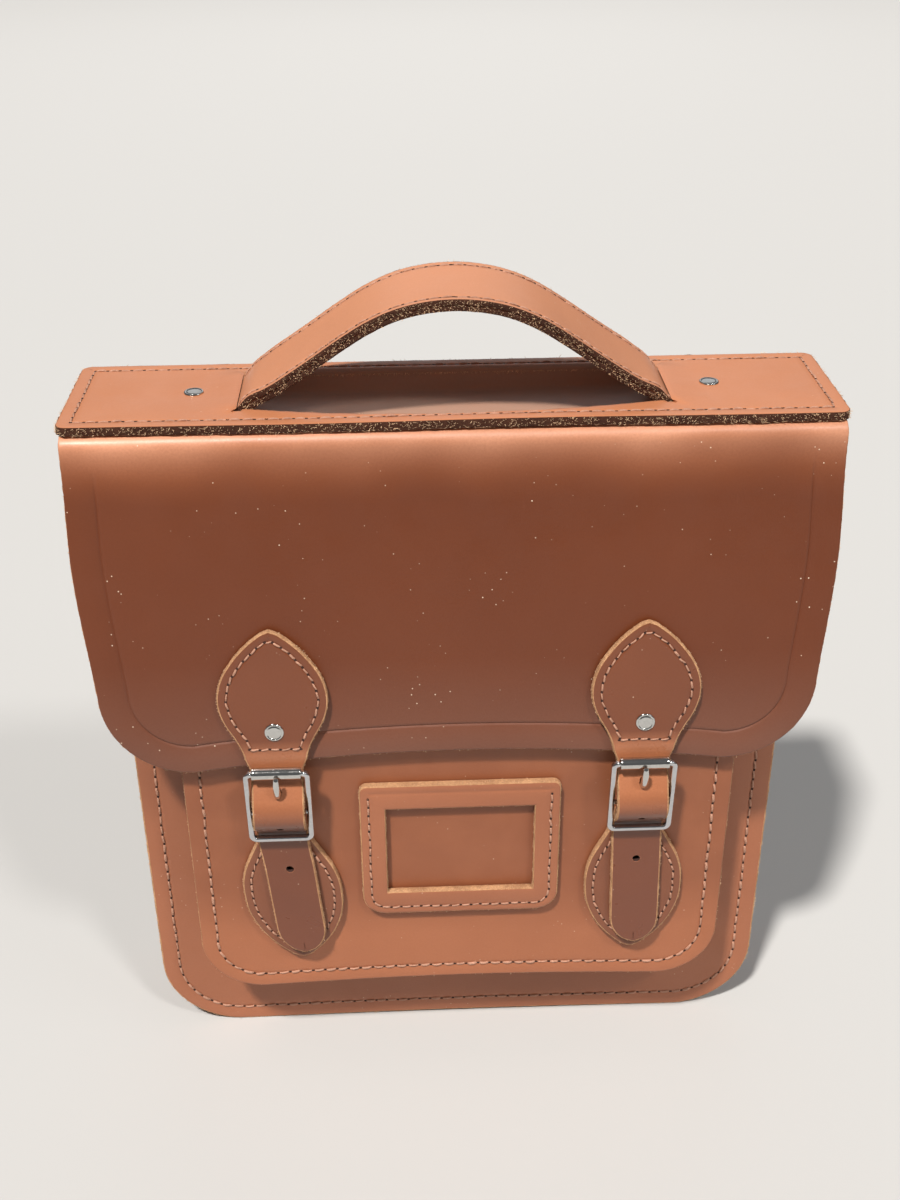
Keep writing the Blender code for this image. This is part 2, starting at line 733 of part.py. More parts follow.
def build_buckle(side, s, metal, bright):
    x = s * STRAP_X
    origin = (x, *CENTRE_BAR)
    top, low = Vector(TOP_BAR), Vector(BOTTOM_BAR)
    along = (top - low).normalized()
    length = (top - low).length
    outline = rounded(
        (
            (-BUCKLE_HALF, length, TOP_CORNER), (-BUCKLE_HALF, 0.0, LOW_CORNER),
            (BUCKLE_HALF, 0.0, LOW_CORNER), (BUCKLE_HALF, length, TOP_CORNER),
        ),
        5,
    )
    bm = bmesh.new()
    rings = []
    sides = 10
    count = len(outline)
    for i, (u, v) in enumerate(outline):
        ahead = Vector(outline[(i + 1) % count]) - Vector(outline[i - 1])
        ahead.normalize()
        outward = Vector((ahead.y, -ahead.x))
        ring = []
        for k in range(sides):
            a = 2 * math.pi * (k + 0.5) / sides
            across, deep = BAR_R * math.cos(a), BAR_R * math.sin(a)
            p = low + along * (v + outward.y * across)
            normal = Vector((-along.y, along.x))
            ring.append(bm.verts.new((x + u + outward.x * across, p.x + normal.x * deep, p.y + normal.y * deep)))
        rings.append(ring)
    for i in range(count):
        a, b = rings[i], rings[(i + 1) % count]
        for k in range(sides):
            n = (k + 1) % sides
            bm.faces.new((a[k], a[n], b[n], b[k]))
    frame = add("buckle_frame_" + side, bm, metal, origin)
    cy, cz = CENTRE_BAR
    bar = add(
        "centre_bar_" + side,
        cylinder((x - BUCKLE_HALF, cy, cz), (x + BUCKLE_HALF, cy, cz), CENTRE_R, sides=16),
        None,
    )
    join(frame, bar)

    ty, tz = TOP_BAR
    inner = BAR_R + 0.3
    roller = turned(
        "buckle_roller_" + side,
        (
            (inner, -ROLLER_HALF), (ROLLER_R, -ROLLER_HALF), (ROLLER_R, ROLLER_HALF),
            (inner, ROLLER_HALF), (inner, -ROLLER_HALF),
        ),
        (x, ty, tz),
        (1, 0, 0),
        bright,
        (x, ty, tz),
        22,
    )
    weld = roller.modifiers.new("weld", "WELD")
    weld.merge_threshold = 0.00002

    ring = turned(
        "buckle_prong_" + side,
        (
            (CENTRE_R + 0.3, -1.1), (2.15, -1.1), (2.15, 1.1),
            (CENTRE_R + 0.3, 1.1), (CENTRE_R + 0.3, -1.1),
        ),
        (x, cy, cz),
        (1, 0, 0),
        bright,
        origin,
        20,
    )
    weld = ring.modifiers.new("weld", "WELD")
    weld.merge_threshold = 0.00002
    arm = add(
        "prong_arm_" + side,
        cylinder((x, PRONG_ROOT[0] + 0.25, PRONG_ROOT[1] - 0.9), (x, *PRONG_TOP), 1.05, 0.8, 14),
        None,
    )
    join(ring, arm)


def main():
    clear_scene()
    tan = material("tan leather", (0.42, 0.15, 0.065), 0.45, 0.0)
    strap = material("strap leather", (0.46, 0.18, 0.08), 0.45, 0.0)
    side = material("gusset leather", (0.36, 0.125, 0.055), 0.5, 0.0)
    grip = material("handle leather", (0.52, 0.21, 0.10), 0.45, 0.0)
    nickel = material("nickel", (0.72, 0.71, 0.68), 0.25, 1.0)
    chrome = material("chrome", (0.82, 0.83, 0.84), 0.15, 1.0)
    build_body(tan, side)
    build_pocket(tan, side)
    build_top(tan, nickel)
    build_handle(grip)
    build_flap(tan, nickel)
    for name, s in (("left", -1), ("right", 1)):
        build_tail(name, s, strap)
        build_chape(name, s, strap)
        build_buckle(name, s, chrome, nickel)


main()
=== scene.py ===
"""Looks of the satchel bag: leather panels with stitched seams and raw edges, handle, straps and buckles.

Shapes are worked out in millimetres in the part's own working frame, whose y = 0 is the front edge of the top
band, and become metres when a mesh is made. A leather piece is a flat outline in (a, b) that a place function
lays in space, h being the height over its outer face.
"""
import math

import bmesh
import bpy
import numpy as np
from mathutils import Matrix, Vector


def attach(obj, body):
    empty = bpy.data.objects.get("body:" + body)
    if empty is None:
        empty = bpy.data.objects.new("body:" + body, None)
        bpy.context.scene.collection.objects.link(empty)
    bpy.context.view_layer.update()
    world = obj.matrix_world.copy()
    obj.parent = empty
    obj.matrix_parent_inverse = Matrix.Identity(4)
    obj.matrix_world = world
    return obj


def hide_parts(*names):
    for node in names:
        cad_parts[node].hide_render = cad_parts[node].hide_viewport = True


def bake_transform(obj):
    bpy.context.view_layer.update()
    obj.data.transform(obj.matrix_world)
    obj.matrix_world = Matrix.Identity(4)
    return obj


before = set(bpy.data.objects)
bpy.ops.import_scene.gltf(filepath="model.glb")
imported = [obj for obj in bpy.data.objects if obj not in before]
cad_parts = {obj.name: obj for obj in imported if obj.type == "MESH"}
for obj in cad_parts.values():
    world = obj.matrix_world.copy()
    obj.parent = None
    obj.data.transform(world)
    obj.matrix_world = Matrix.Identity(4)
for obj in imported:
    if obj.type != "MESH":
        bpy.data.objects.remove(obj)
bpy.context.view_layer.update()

# ---------------------------------------------------------------- sizes, as in part.py

GAP = 0.3
LEATHER = 3.0
Y_CENTRE = 14.3

PANEL_HALF, PANEL_TOP, PANEL_CORNER = 124.6, 262.0, 32.6
FRONT_Y, BACK_Y, RIM = 7.0, 60.0, 10.0
POCKET_HALF, POCKET_LOW, POCKET_TOP, POCKET_CORNER = 103.1, 40.4, 172.0, 23.6
POCKET_Y, POCKET_RIM = -15.2, 8.0
LABEL_HALF, LABEL_LOW, LABEL_HIGH = 38.0, 79.5, 141.5
WINDOW_HALF, WINDOW_LOW, WINDOW_HIGH = 28.15, 90.5, 130.6
BAND_HALF, BAND_DEPTH, BAND_TOP, BAND_THICK, BAND_CORNER = 135.0, 58.0, 280.0, 3.3, 4.0
FLAP_HALF, FOLD_R, FOLD_Z = 134.0, 3.0, 271.9
FLAP_LOW, FLAP_BOW, FLAP_CORNER = 152.3, 6.2, 33.0
TROUGH, BULGE, RECESS = 7.5, 1.2, 3.1
SLOT_IN, SLOT_OUT, SLOT_Y0, SLOT_Y1 = 73.5, 79.0, 13.0, 47.0
HANDLE_WIDTH, HANDLE_LAYER, HANDLE_Y = 31.0, 2.1, 30.0
HANDLE_LEAN = math.radians(7.0)
BAND_RIVET_X, RIVET_R, HEAD_RIVET_Z = 91.4, 3.5, 170.0
STRAP_X, STRAP_HALF, HEAD_LOW, HEAD_TOP, HEAD_SEAM = 67.0, 9.5, 160.5, 209.1, 163.0
TOP_BAR, CENTRE_BAR, BOTTOM_BAR = (-27.0, 155.2), (-25.2, 136.5), (-23.9, 123.2)
BAR_R, CENTRE_R, BUCKLE_HALF, ROLLER_R, ROLLER_HALF = 1.3, 1.0, 11.1, 2.25, 9.0
PRONG = ((-26.0, 138.4), (-25.7, 141.4), (-26.4, 144.0), (-28.3, 146.2), (-29.8, 149.4), (-30.6, 152.6),
         (-30.5, 155.6))

FLAP_Y = (
    (150.0, -21.2), (160.0, -20.3), (172.0, -19.2), (185.0, -17.8), (200.0, -15.6),
    (215.0, -13.0), (230.0, -10.0), (245.0, -6.7), (258.0, -3.9), (266.0, -2.5), (271.9, -2.0),
)
HANDLE_RISE = (
    (0.0, 40.5), (10.0, 39.7), (20.0, 37.2), (30.0, 32.6), (40.0, 26.1), (50.0, 18.9),
    (60.0, 11.9), (66.0, 7.9), (71.0, 4.7),
)
HANDLE_FOOT = ((76.0, 279.1), (80.0, 277.0), (84.5, 276.0), (91.0, 275.85), (104.0, 275.85))
HEAD = (
    (160.5, 11.6), (162.5, 12.2), (167.5, 14.4), (172.5, 17.2), (177.5, 19.1), (182.5, 19.8),
    (187.5, 19.2), (192.5, 17.4), (197.5, 14.2), (202.5, 9.9), (206.5, 5.2), (208.5, 2.0), (209.1, 0.3),
)
TAIL = (
    (-22.35, 160.2), (-22.4, 157.4), (-22.5, 154.6), (-22.9, 151.8), (-23.9, 148.8), (-25.6, 145.8),
    (-27.3, 142.8), (-28.7, 139.8), (-29.5, 136.6), (-28.9, 133.6), (-26.9, 130.8), (-24.2, 128.4), (-21.9, 126.2),
    (-20.9, 123.8), (-20.25, 120.5), (-20.1, 116.0), (-20.1, 106.0), (-20.1, 92.0), (-20.1, 78.0),
    (-20.1, 70.0), (-20.1, 63.4),
)
TIP = ((63.4, 0.6), (64.4, 3.2), (66.4, 5.8), (69.0, 7.7), (72.0, 8.9), (76.0, 9.5))
PAD = (
    (58.5, 0.4), (59.2, 2.4), (61.5, 5.6), (65.0, 9.2), (70.0, 13.1), (76.0, 16.2), (83.0, 18.4),
    (90.0, 19.0), (97.0, 18.7), (104.0, 16.9), (111.0, 13.6), (117.0, 10.6), (123.0, 8.6), (127.0, 8.0),
)
GRAIN, EDGE, FLESH = 0, 1, 2

# ---------------------------------------------------------------- broad tones of the leather, mostly painted light and
# shade
BAND_SEED = 3500.0
# painted light on the flap: a highlight near the fold and skylight shade towards its lower edge
FLAP_LIGHT_BOUNDS = (-47.0, -23.0, -112.0, -150.0)
FLAP_PAINTED_HIGHLIGHT, FLAP_PAINTED_WARM_LIGHT, FLAP_PAINTED_SKY_SHADE = (0.68, 0.31, 0.18), (0.3, 0.078, 0.02), (0.165, 0.062, 0.036)
# painted shade on the pocket's upper part
POCKET_SHADE_BOUNDS, POCKET_PAINTED_SHADE_COLOUR = (92.0, 66.0), (0.27, 0.088, 0.038)
# painted light on the strap where it bends through the buckle, back to a dark tone on the tail
BULGE_LIGHT_BOUNDS, TAIL_FROM = (-43.0, -50.0), (-68.0, -79.0)
BULGE_PAINTED_LIGHT, TAIL_TONE = (0.42, 0.155, 0.07), (0.16, 0.045, 0.019)
# the last of these is painted shade inside the band's hollow; the first two also set the hollow's shape
HOLLOW_NEAR, HOLLOW_BOW, HOLLOW_PAINTED_SHADE_COLOUR = 6.0, 8.0, (0.36, 0.22, 0.155)


# ---------------------------------------------------------------- small mathematics


def smooth(low, high, x):
    t = np.clip((np.asarray(x, float) - low) / (high - low), 0.0, 1.0)
    return t * t * (3.0 - 2.0 * t)


def between(knots, x):
    """Smooth curve through (x, value) knots that rise in x."""
    k = np.asarray(knots, float)
    slope = np.gradient(k[:, 1], k[:, 0])
    x = np.clip(np.asarray(x, float), k[0, 0], k[-1, 0])
    i = np.clip(np.searchsorted(k[:, 0], x) - 1, 0, len(k) - 2)
    step = k[i + 1, 0] - k[i, 0]
    t = (x - k[i, 0]) / step
    a = (2 * t**3 - 3 * t**2 + 1) * k[i, 1] + (t**3 - 2 * t**2 + t) * slope[i] * step
    return a + (3 * t**2 - 2 * t**3) * k[i + 1, 1] + (t**3 - t**2) * slope[i + 1] * step


def lengths(points):
    return np.r_[0.0, np.cumsum(np.linalg.norm(np.diff(points, axis=0), axis=1))]


def spline(points, step=0.4):
    """Dense smooth curve through the points, at about this spacing."""
    p = np.asarray(points, float)
    t = np.sqrt(np.linalg.norm(np.diff(p, axis=0), axis=1))
    t = np.r_[0.0, np.cumsum(t)]
    total = lengths(p)[-1]
    fine = np.linspace(0, t[-1], max(8, int(total / step)))
    return np.stack([between(np.stack([t, p[:, k]], 1), fine) for k in range(p.shape[1])], 1)


def arc(centre, radius, start, end, step=0.35):
    count = max(4, int(abs(math.radians(end - start)) * radius / step))
    a = np.radians(np.linspace(start, end, count + 1))
    return np.stack([centre[0] + radius * np.cos(a), centre[1] + radius * np.sin(a)], 1)


def resample(points, count=None, spacing=2.0, turn=0.25):
    """The polyline at even steps, with more of them where it turns."""
    p = np.asarray(points, float)
    step = np.linalg.norm(np.diff(p, axis=0), axis=1)
    keep = np.r_[True, step > 1e-7]
    p, step = p[keep], step[step > 1e-7]
    along = np.diff(p, axis=0) / step[:, None]
    bend = np.zeros(len(p))
    bend[1:-1] = np.arccos(np.clip((along[1:] * along[:-1]).sum(1), -1, 1))
    measure = np.r_[0.0, np.cumsum(step / spacing + (bend[1:] + bend[:-1]) / 2 / turn)]
    count = count or max(1, round(measure[-1]))
    goal = np.linspace(0, measure[-1], count + 1)
    return np.stack([np.interp(goal, measure, p[:, k]) for k in range(p.shape[1])], 1)


class Path:
    """Curve in a plane that a leather piece follows, with the side its outer face looks to."""

    def __init__(self, points, side=1.0):
        self.p = np.asarray(points, float)
        self.s = lengths(self.p)
        t = np.gradient(self.p, axis=0)
        t /= np.linalg.norm(t, axis=1)[:, None]
        self.n = np.stack([-t[:, 1], t[:, 0]], 1) * side

    def at(self, s, h):
        x = [np.interp(s, self.s, self.p[:, k]) for k in (0, 1)]
        n = [np.interp(s, self.s, self.n[:, k]) for k in (0, 1)]
        size = np.hypot(*n)
        return x[0] + n[0] / size * h, x[1] + n[1] / size * h

    def length_at(self, axis, value):
        """Length along the path where this coordinate has the value; the coordinate falls along the path."""
        return np.interp(-np.asarray(value, float), -self.p[:, axis], self.s)


# ---------------------------------------------------------------- meshes


class Soup:
    def __init__(self):
        self.points, self.rest, self.faces, self.slots, self.count = [], [], [], [], 0

    def add(self, points, faces, slot, rest=None):
        points = np.asarray(points, float).reshape(-1, 3)
        self.points.append(points)
        self.rest.append(points if rest is None else np.asarray(rest, float).reshape(-1, 3))
        faces = np.asarray(faces, int)
        self.faces.append(faces + self.count)
        self.slots.append(np.full(len(faces), slot) if np.isscalar(slot) else np.asarray(slot))
        self.count += len(points)

    def make(self, name, materials, sharp=55.0, merge=True):
        mesh = bpy.data.meshes.new(name)
        points = (np.concatenate(self.points) - (0.0, Y_CENTRE, 0.0)) * 0.001
        points[:, 2] = np.maximum(points[:, 2], 0.0)
        faces = [tuple(f) for block in self.faces for f in block.tolist()]
        mesh.from_pydata(points.tolist(), [], faces)
        mesh.attributes.new("rest", "FLOAT_VECTOR", "POINT").data.foreach_set(
            "vector", np.concatenate(self.rest).astype(np.float32).ravel()
        )
        mesh.polygons.foreach_set("material_index", np.concatenate(self.slots).astype(np.int32))
        bm = bmesh.new()
        bm.from_mesh(mesh)
        if merge:
            bmesh.ops.remove_doubles(bm, verts=bm.verts, dist=2e-6)
            bmesh.ops.dissolve_degenerate(bm, edges=bm.edges, dist=1e-6)
        bmesh.ops.recalc_face_normals(bm, faces=bm.faces)
        bm.to_mesh(mesh)
        bm.free()
        for mat in materials:
            mesh.materials.append(mat)
        mesh.shade_smooth()
        if sharp:
            mesh.set_sharp_from_angle(angle=math.radians(sharp))
        obj = bpy.data.objects.new(name, mesh)
        bpy.context.scene.collection.objects.link(obj)
        return obj


def grid_faces(rows, columns, wrap=False):
    i, j = np.meshgrid(np.arange(rows - 1), np.arange(columns if wrap else columns - 1), indexing="ij")
    n = (j + 1) % columns
    quads = np.stack([i * columns + j, i * columns + n, (i + 1) * columns + n, (i + 1) * columns + j], -1)
    return quads.reshape(-1, 4)


def outline_of(bottom, right, top, left):
    """Closed outline, anticlockwise, from four sides that meet at their ends."""
    sides = [np.asarray(s, float) for s in (bottom, right, top, left)]
    return np.concatenate([s[:-1] for s in sides]), [len(s) - 1 for s in sides]


def inset(points, depth):
    """The outline moved inwards, its crossed stretches drawn together to a corner."""
    along = np.roll(points, -1, 0) - np.roll(points, 1, 0)
    along /= np.maximum(np.linalg.norm(along, axis=1), 1e-9)[:, None]
    moved = points + np.stack([-along[:, 1], along[:, 0]], 1) * depth
    if depth <= 0.3:
        return moved
    a, b = points[None], np.roll(points, -1, 0)[None]
    ab = b - a
    t = ((moved[:, None] - a) * ab).sum(-1) / np.maximum((ab * ab).sum(-1), 1e-12)
    near = np.linalg.norm(moved[:, None] - (a + np.clip(t, 0, 1)[..., None] * ab), axis=-1).min(1)
    bad = near < depth * 0.985 - 0.01
    if not bad.any() or bad.all():
        return moved
    count = len(points)
    first = int(np.flatnonzero(~bad)[0])
    order = [(first + k) % count for k in range(count)]
    k = 0
    while k < count:
        if not bad[order[k]]:
            k += 1
            continue
        end = k
        while end < count and bad[order[end]]:
            end += 1
        g0, g1 = order[k - 1], order[end % count]
        p0, p1, t0, t1 = moved[g0], moved[g1], along[g0], along[g1]
        cross = t0[0] * t1[1] - t0[1] * t1[0]
        tip = (p0 + p1) / 2
        if abs(cross) > 0.15:
            u = ((p1 - p0)[0] * t1[1] - (p1 - p0)[1] * t1[0]) / cross
            if abs(u) < 6.0:
                tip = p0 + t0 * u
        for m in range(k, end):
            moved[order[m]] = tip
        k = end
    return moved


def coons(ring, counts):
    """Grid of points filling a ring, rows from its bottom side to its top side."""
    nb, nr, nt, _ = counts
    whole = np.concatenate([ring, ring[:1]])
    bottom, right = whole[: nb + 1], whole[nb : nb + nr + 1]
    top, left = whole[nb + nr : nb + nr + nt + 1][::-1], whole[nb + nr + nt :][::-1]
    u = np.linspace(0, 1, nb + 1)[None, :, None]
    v = np.linspace(0, 1, nr + 1)[:, None, None]
    ruled = (1 - v) * bottom[None] + v * top[None] + (1 - u) * left[:, None] + u * right[:, None]
    corners = (1 - u) * (1 - v) * bottom[0] + u * (1 - v) * bottom[-1]
    return ruled - corners - (1 - u) * v * top[0] - u * v * top[-1]


def groove_rows(at, half, depth):
    return [(at + k * half, -depth * d) for k, d in ((-1.6, 0), (-0.8, 0.5), (0, 1), (0.8, 0.5), (1.6, 0))]


def plate(soup, ring, counts, place, thick=LEATHER, grooves=(), mask=None, rng=None, rough=0.09, holes=(),
          seed=0.0, worn=False):
    """Leather cut to an outline: raw edge, rounded rim, pressed grooves, and both faces."""
    t = thick
    rows = [(2.2, -t, FLESH), (0.5, -t, FLESH), (0.14, -t + 0.14, EDGE), (0.0, -t + 0.45, EDGE),
            (0.0, -t * 0.5, EDGE)]
    lip = (0.36, -0.1, EDGE) if worn else (0.26, -0.1, GRAIN)
    rows += [(0.03, -0.55, EDGE), (0.16, -0.24, EDGE), lip, (0.62, -0.03, GRAIN), (1.0, 0.0, GRAIN)]
    for groove in sorted(grooves):
        rows += [(a, h, GRAIN) for a, h in groove_rows(*groove)]
    rings, heights = [], []
    for depth, height, _ in rows:
        flat = inset(ring, depth)
        h = np.full(len(ring), height)
        if depth > 1.2 and height > -1.0 and mask is not None:
            h = h * mask(flat[:, 0], flat[:, 1])
        if rng is not None and -t + 0.1 < height < -0.1 and depth < 0.3:
            h = h + rng.normal(0, rough * 0.5, len(ring))
            flat = flat + (inset(ring, depth + 1.0) - flat) * rng.normal(0, rough, len(ring))[:, None] * 0.7
        rings.append(flat)
        heights.append(h)
    flat, h = np.concatenate(rings), np.concatenate(heights)
    slots = np.repeat([r[2] for r in rows[:-1]], len(ring))
    rest = np.column_stack([flat[:, 0] + seed, flat[:, 1], h])
    soup.add(place(flat[:, 0], flat[:, 1], h), grid_faces(len(rows), len(ring), wrap=True), slots, rest)

    sheets = []
    for edge_ring, height, slot in ((rings[-1], 0.0, GRAIN), (rings[0], -t, FLESH)):
        inner = coons(edge_ring, counts)
        if holes and height < 0:
            inner = sheets[0]
        sheets.append(inner)
        shape = inner.shape[:2]
        a, b = inner[..., 0].ravel(), inner[..., 1].ravel()
        faces = grid_faces(*shape)
        centre = np.stack([a, b], 1)[faces].mean(1)
        inside = np.zeros(len(faces), bool)
        for x0, x1, y0, y1 in holes:
            inside |= (centre[:, 0] > x0) & (centre[:, 0] < x1) & (centre[:, 1] > y0) & (centre[:, 1] < y1)
        h = np.full(len(a), height)
        rest = np.column_stack([a + seed, b, h])
        soup.add(place(a, b, h), faces[~inside], slot, rest)
    if holes:
        inside = inside.reshape(shape[0] - 1, shape[1] - 1)
        walls(soup, inner, inside, place, thick, seed)


def walls(soup, inner, inside, place, thick, seed):
    """Raw walls round the openings left in a plate, from its outer to its inner face."""
    levels = np.array([0.0, -0.12, -0.45, -thick / 2, -thick + 0.4, -thick])
    points, faces = [], []
    for i, j in np.argwhere(inside):
        for di, dj, p, q in ((-1, 0, (i, j), (i, j + 1)), (1, 0, (i + 1, j), (i + 1, j + 1)),
                             (0, -1, (i, j), (i + 1, j)), (0, 1, (i, j + 1), (i + 1, j + 1))):
            if inside[i + di, j + dj]:
                continue
            start = len(points)
            for h in levels:
                points += [(*inner[p], h), (*inner[q], h)]
            faces += [(k, k + 1, k + 3, k + 2) for k in range(start, start + 2 * len(levels) - 2, 2)]
    points = np.array(points)
    rest = points + (seed, 0.0, 0.0)
    soup.add(place(points[:, 0], points[:, 1], points[:, 2]), faces, EDGE, rest)


def open_line(ring, depth, keep):
    """Stretches of the inset outline for which keep(a, b) is true, as polylines."""
    line = inset(ring, depth)
    step = np.linalg.norm(np.roll(line, -1, 0) - line, axis=1)
    line = line[step > 1e-5]
    on = keep(line[:, 0], line[:, 1])
    if on.all():
        return [np.concatenate([line, line[:1]])]
    first = int(np.flatnonzero(~on)[0])
    line, on = np.roll(line, -first, 0), np.roll(on, -first)
    cuts = np.flatnonzero(np.diff(on.astype(int)))
    return [line[a + 1 : b + 1] for a, b in zip(cuts[::2], np.r_[cuts[1::2], len(line) - 1])]


def stitch(soup, line, place, rng, pitch=4.6, radius=0.44, sink=0.28):
    """Thread from hole to hole along a line: slot 0 thread, slot 1 the holes, whose dark is painted shade."""
    total = lengths(line)[-1]
    count = max(1, round(total / pitch))
    stations = np.linspace(0, total, count + 1)
    holes = np.stack([np.interp(stations, lengths(line), line[:, k]) for k in (0, 1)], 1)
    holes = holes + rng.normal(0, 0.12, holes.shape)
    a, b = holes[:-1], holes[1:]
    d = (b - a) / np.linalg.norm(b - a, axis=1)[:, None]
    n = np.stack([-d[:, 1], d[:, 0]], 1)
    steps = np.array([0.09, 0.14, 0.26, 0.5, 0.74, 0.86, 0.91])
    arch = np.array([-0.75, -0.25, 0.3, 0.5, 0.3, -0.25, -0.75])
    thick = np.array([0.62, 0.9, 1.04, 1.08, 1.04, 0.9, 0.62])
    angles = np.linspace(0, 2 * np.pi, 9)[:-1]
    slant = rng.normal(0.22, 0.15, len(a))[:, None, None]
    lift = rng.normal(0.0, 0.08, len(a))[:, None, None]
    size = radius * rng.normal(0.96, 0.12, len(a))[:, None, None]
    t = steps[None, :, None] + 0 * angles[None, None, :]
    side = slant * (t - 0.5) * 1.6 + size * thick[None, :, None] * np.cos(angles) * 1.1
    high = lift - sink * 0.55 + (arch[None, :, None] * radius) + size * thick[None, :, None] * np.sin(angles)
    along = a[:, None, None] + (b - a)[:, None, None] * t[..., None]
    flat = along + n[:, None, None] * side[..., None]
    points = place(flat[..., 0].ravel(), flat[..., 1].ravel(), high.ravel())
    one = grid_faces(len(steps), len(angles), wrap=True)
    block = len(steps) * len(angles)
    soup.add(points, (one[None] + (np.arange(len(a)) * block)[:, None, None]).reshape(-1, 4), 0,
             np.column_stack([flat[..., 0].ravel(), flat[..., 1].ravel(), high.ravel()]))
    turn = np.linspace(0, 2 * np.pi, 11)[:-1]
    d = np.concatenate([d, d[-1:]])
    n = np.concatenate([n, n[-1:]])
    long, wide = (0.66 * np.cos(turn))[None, :, None], (0.46 * np.sin(turn))[None, :, None]
    disc = holes[:, None] + d[:, None] * long + n[:, None] * wide
    flat = np.concatenate([disc, holes[:, None]], 1)
    h = np.full(flat.shape[:2], -sink * 0.5 + 0.06)
    h[:, -1] = -sink + 0.07
    points = place(flat[..., 0].ravel(), flat[..., 1].ravel(), h.ravel())
    fan = np.array([(k, (k + 1) % 10, 10) for k in range(10)])
    soup.add(points, (fan[None] + (np.arange(len(holes)) * 11)[:, None, None]).reshape(-1, 3), 1)


def fibres(soup, line, place, rng, per_mm, reach=(0.3, 0.9), levels=(-2.6, -0.2), radius=0.1, slot=0,
           closed=True, out=1.0):
    """Short curved fibres standing from a raw edge, at random heights between the levels."""
    if closed:
        line = np.concatenate([line, line[:1]])
    s = lengths(line)
    count = int(s[-1] * per_mm)
    if count < 1:
        return
    at = rng.uniform(0, s[-1], count)
    base = np.stack([np.interp(at, s, line[:, k]) for k in (0, 1)], 1)
    ahead = np.stack([np.interp(at + 0.3, s, line[:, k]) for k in (0, 1)], 1) - base
    ahead /= np.maximum(np.linalg.norm(ahead, axis=1), 1e-6)[:, None]
    away = np.stack([ahead[:, 1], -ahead[:, 0]], 1) * out
    reach = rng.uniform(*reach, count) * rng.uniform(0.4, 1.0, count)
    h0 = rng.uniform(*levels, count)
    lean_a, lean_h = rng.normal(0, 0.7, count), rng.normal(0.1, 0.5, count)
    curl_a, curl_h = rng.normal(0, 0.5, count), rng.normal(0, 0.4, count)
    points = []
    for share, size in ((-0.15, 1.0), (0.5, 0.75), (1.0, 0.2)):
        r = reach * share
        c = base + away * r[:, None] + ahead * (r * lean_a + r * share * curl_a)[:, None]
        h = h0 + r * lean_h + r * share * curl_h
        for k in range(3):
            angle = 2 * math.pi * k / 3
            p = c + ahead * (math.cos(angle) * radius * size)
            points.append(place(p[:, 0], p[:, 1], h + math.sin(angle) * radius * size))
    points = np.stack(points, 1)
    one = grid_faces(3, 3, wrap=True)
    soup.add(points, (one[None] + (np.arange(count) * 9)[:, None, None]).reshape(-1, 4), slot)


def swept(soup, rows, slot=0, closed=False, caps=True):
    """Skin over rings of points, each ring a closed loop."""
    rows = np.asarray(rows, float)
    count, around = rows.shape[:2]
    faces = grid_faces(count, around, wrap=True)
    if closed:
        last = np.arange(around) + (count - 1) * around
        first = np.arange(around)
        faces = np.concatenate([faces, np.stack([last, np.roll(last, -1), np.roll(first, -1), first], -1)])
    soup.add(rows.reshape(-1, 3), faces, slot)
    if caps and not closed:
        for ring in (rows[0], rows[-1]):
            centre = ring.mean(0)
            soup.add(np.vstack([ring, centre]), [(k, (k + 1) % around, around) for k in range(around)], slot)


def lathe(soup, profile, centre, axis, slot=0, sides=48):
    """Turned shape from (radius, height) points, rounded in between, about an axis through centre."""
    turn = np.array(Vector(axis).to_track_quat("Z", "Y").to_matrix())
    a = np.linspace(0, 2 * np.pi, sides + 1)[:-1]
    rows = []
    for r, h in profile:
        ring = np.stack([r * np.cos(a), r * np.sin(a), np.full(sides, h)], 1)
        rows.append(ring @ turn.T + np.asarray(centre, float))
    swept(soup, rows, slot, caps=False)


# ---------------------------------------------------------------- materials


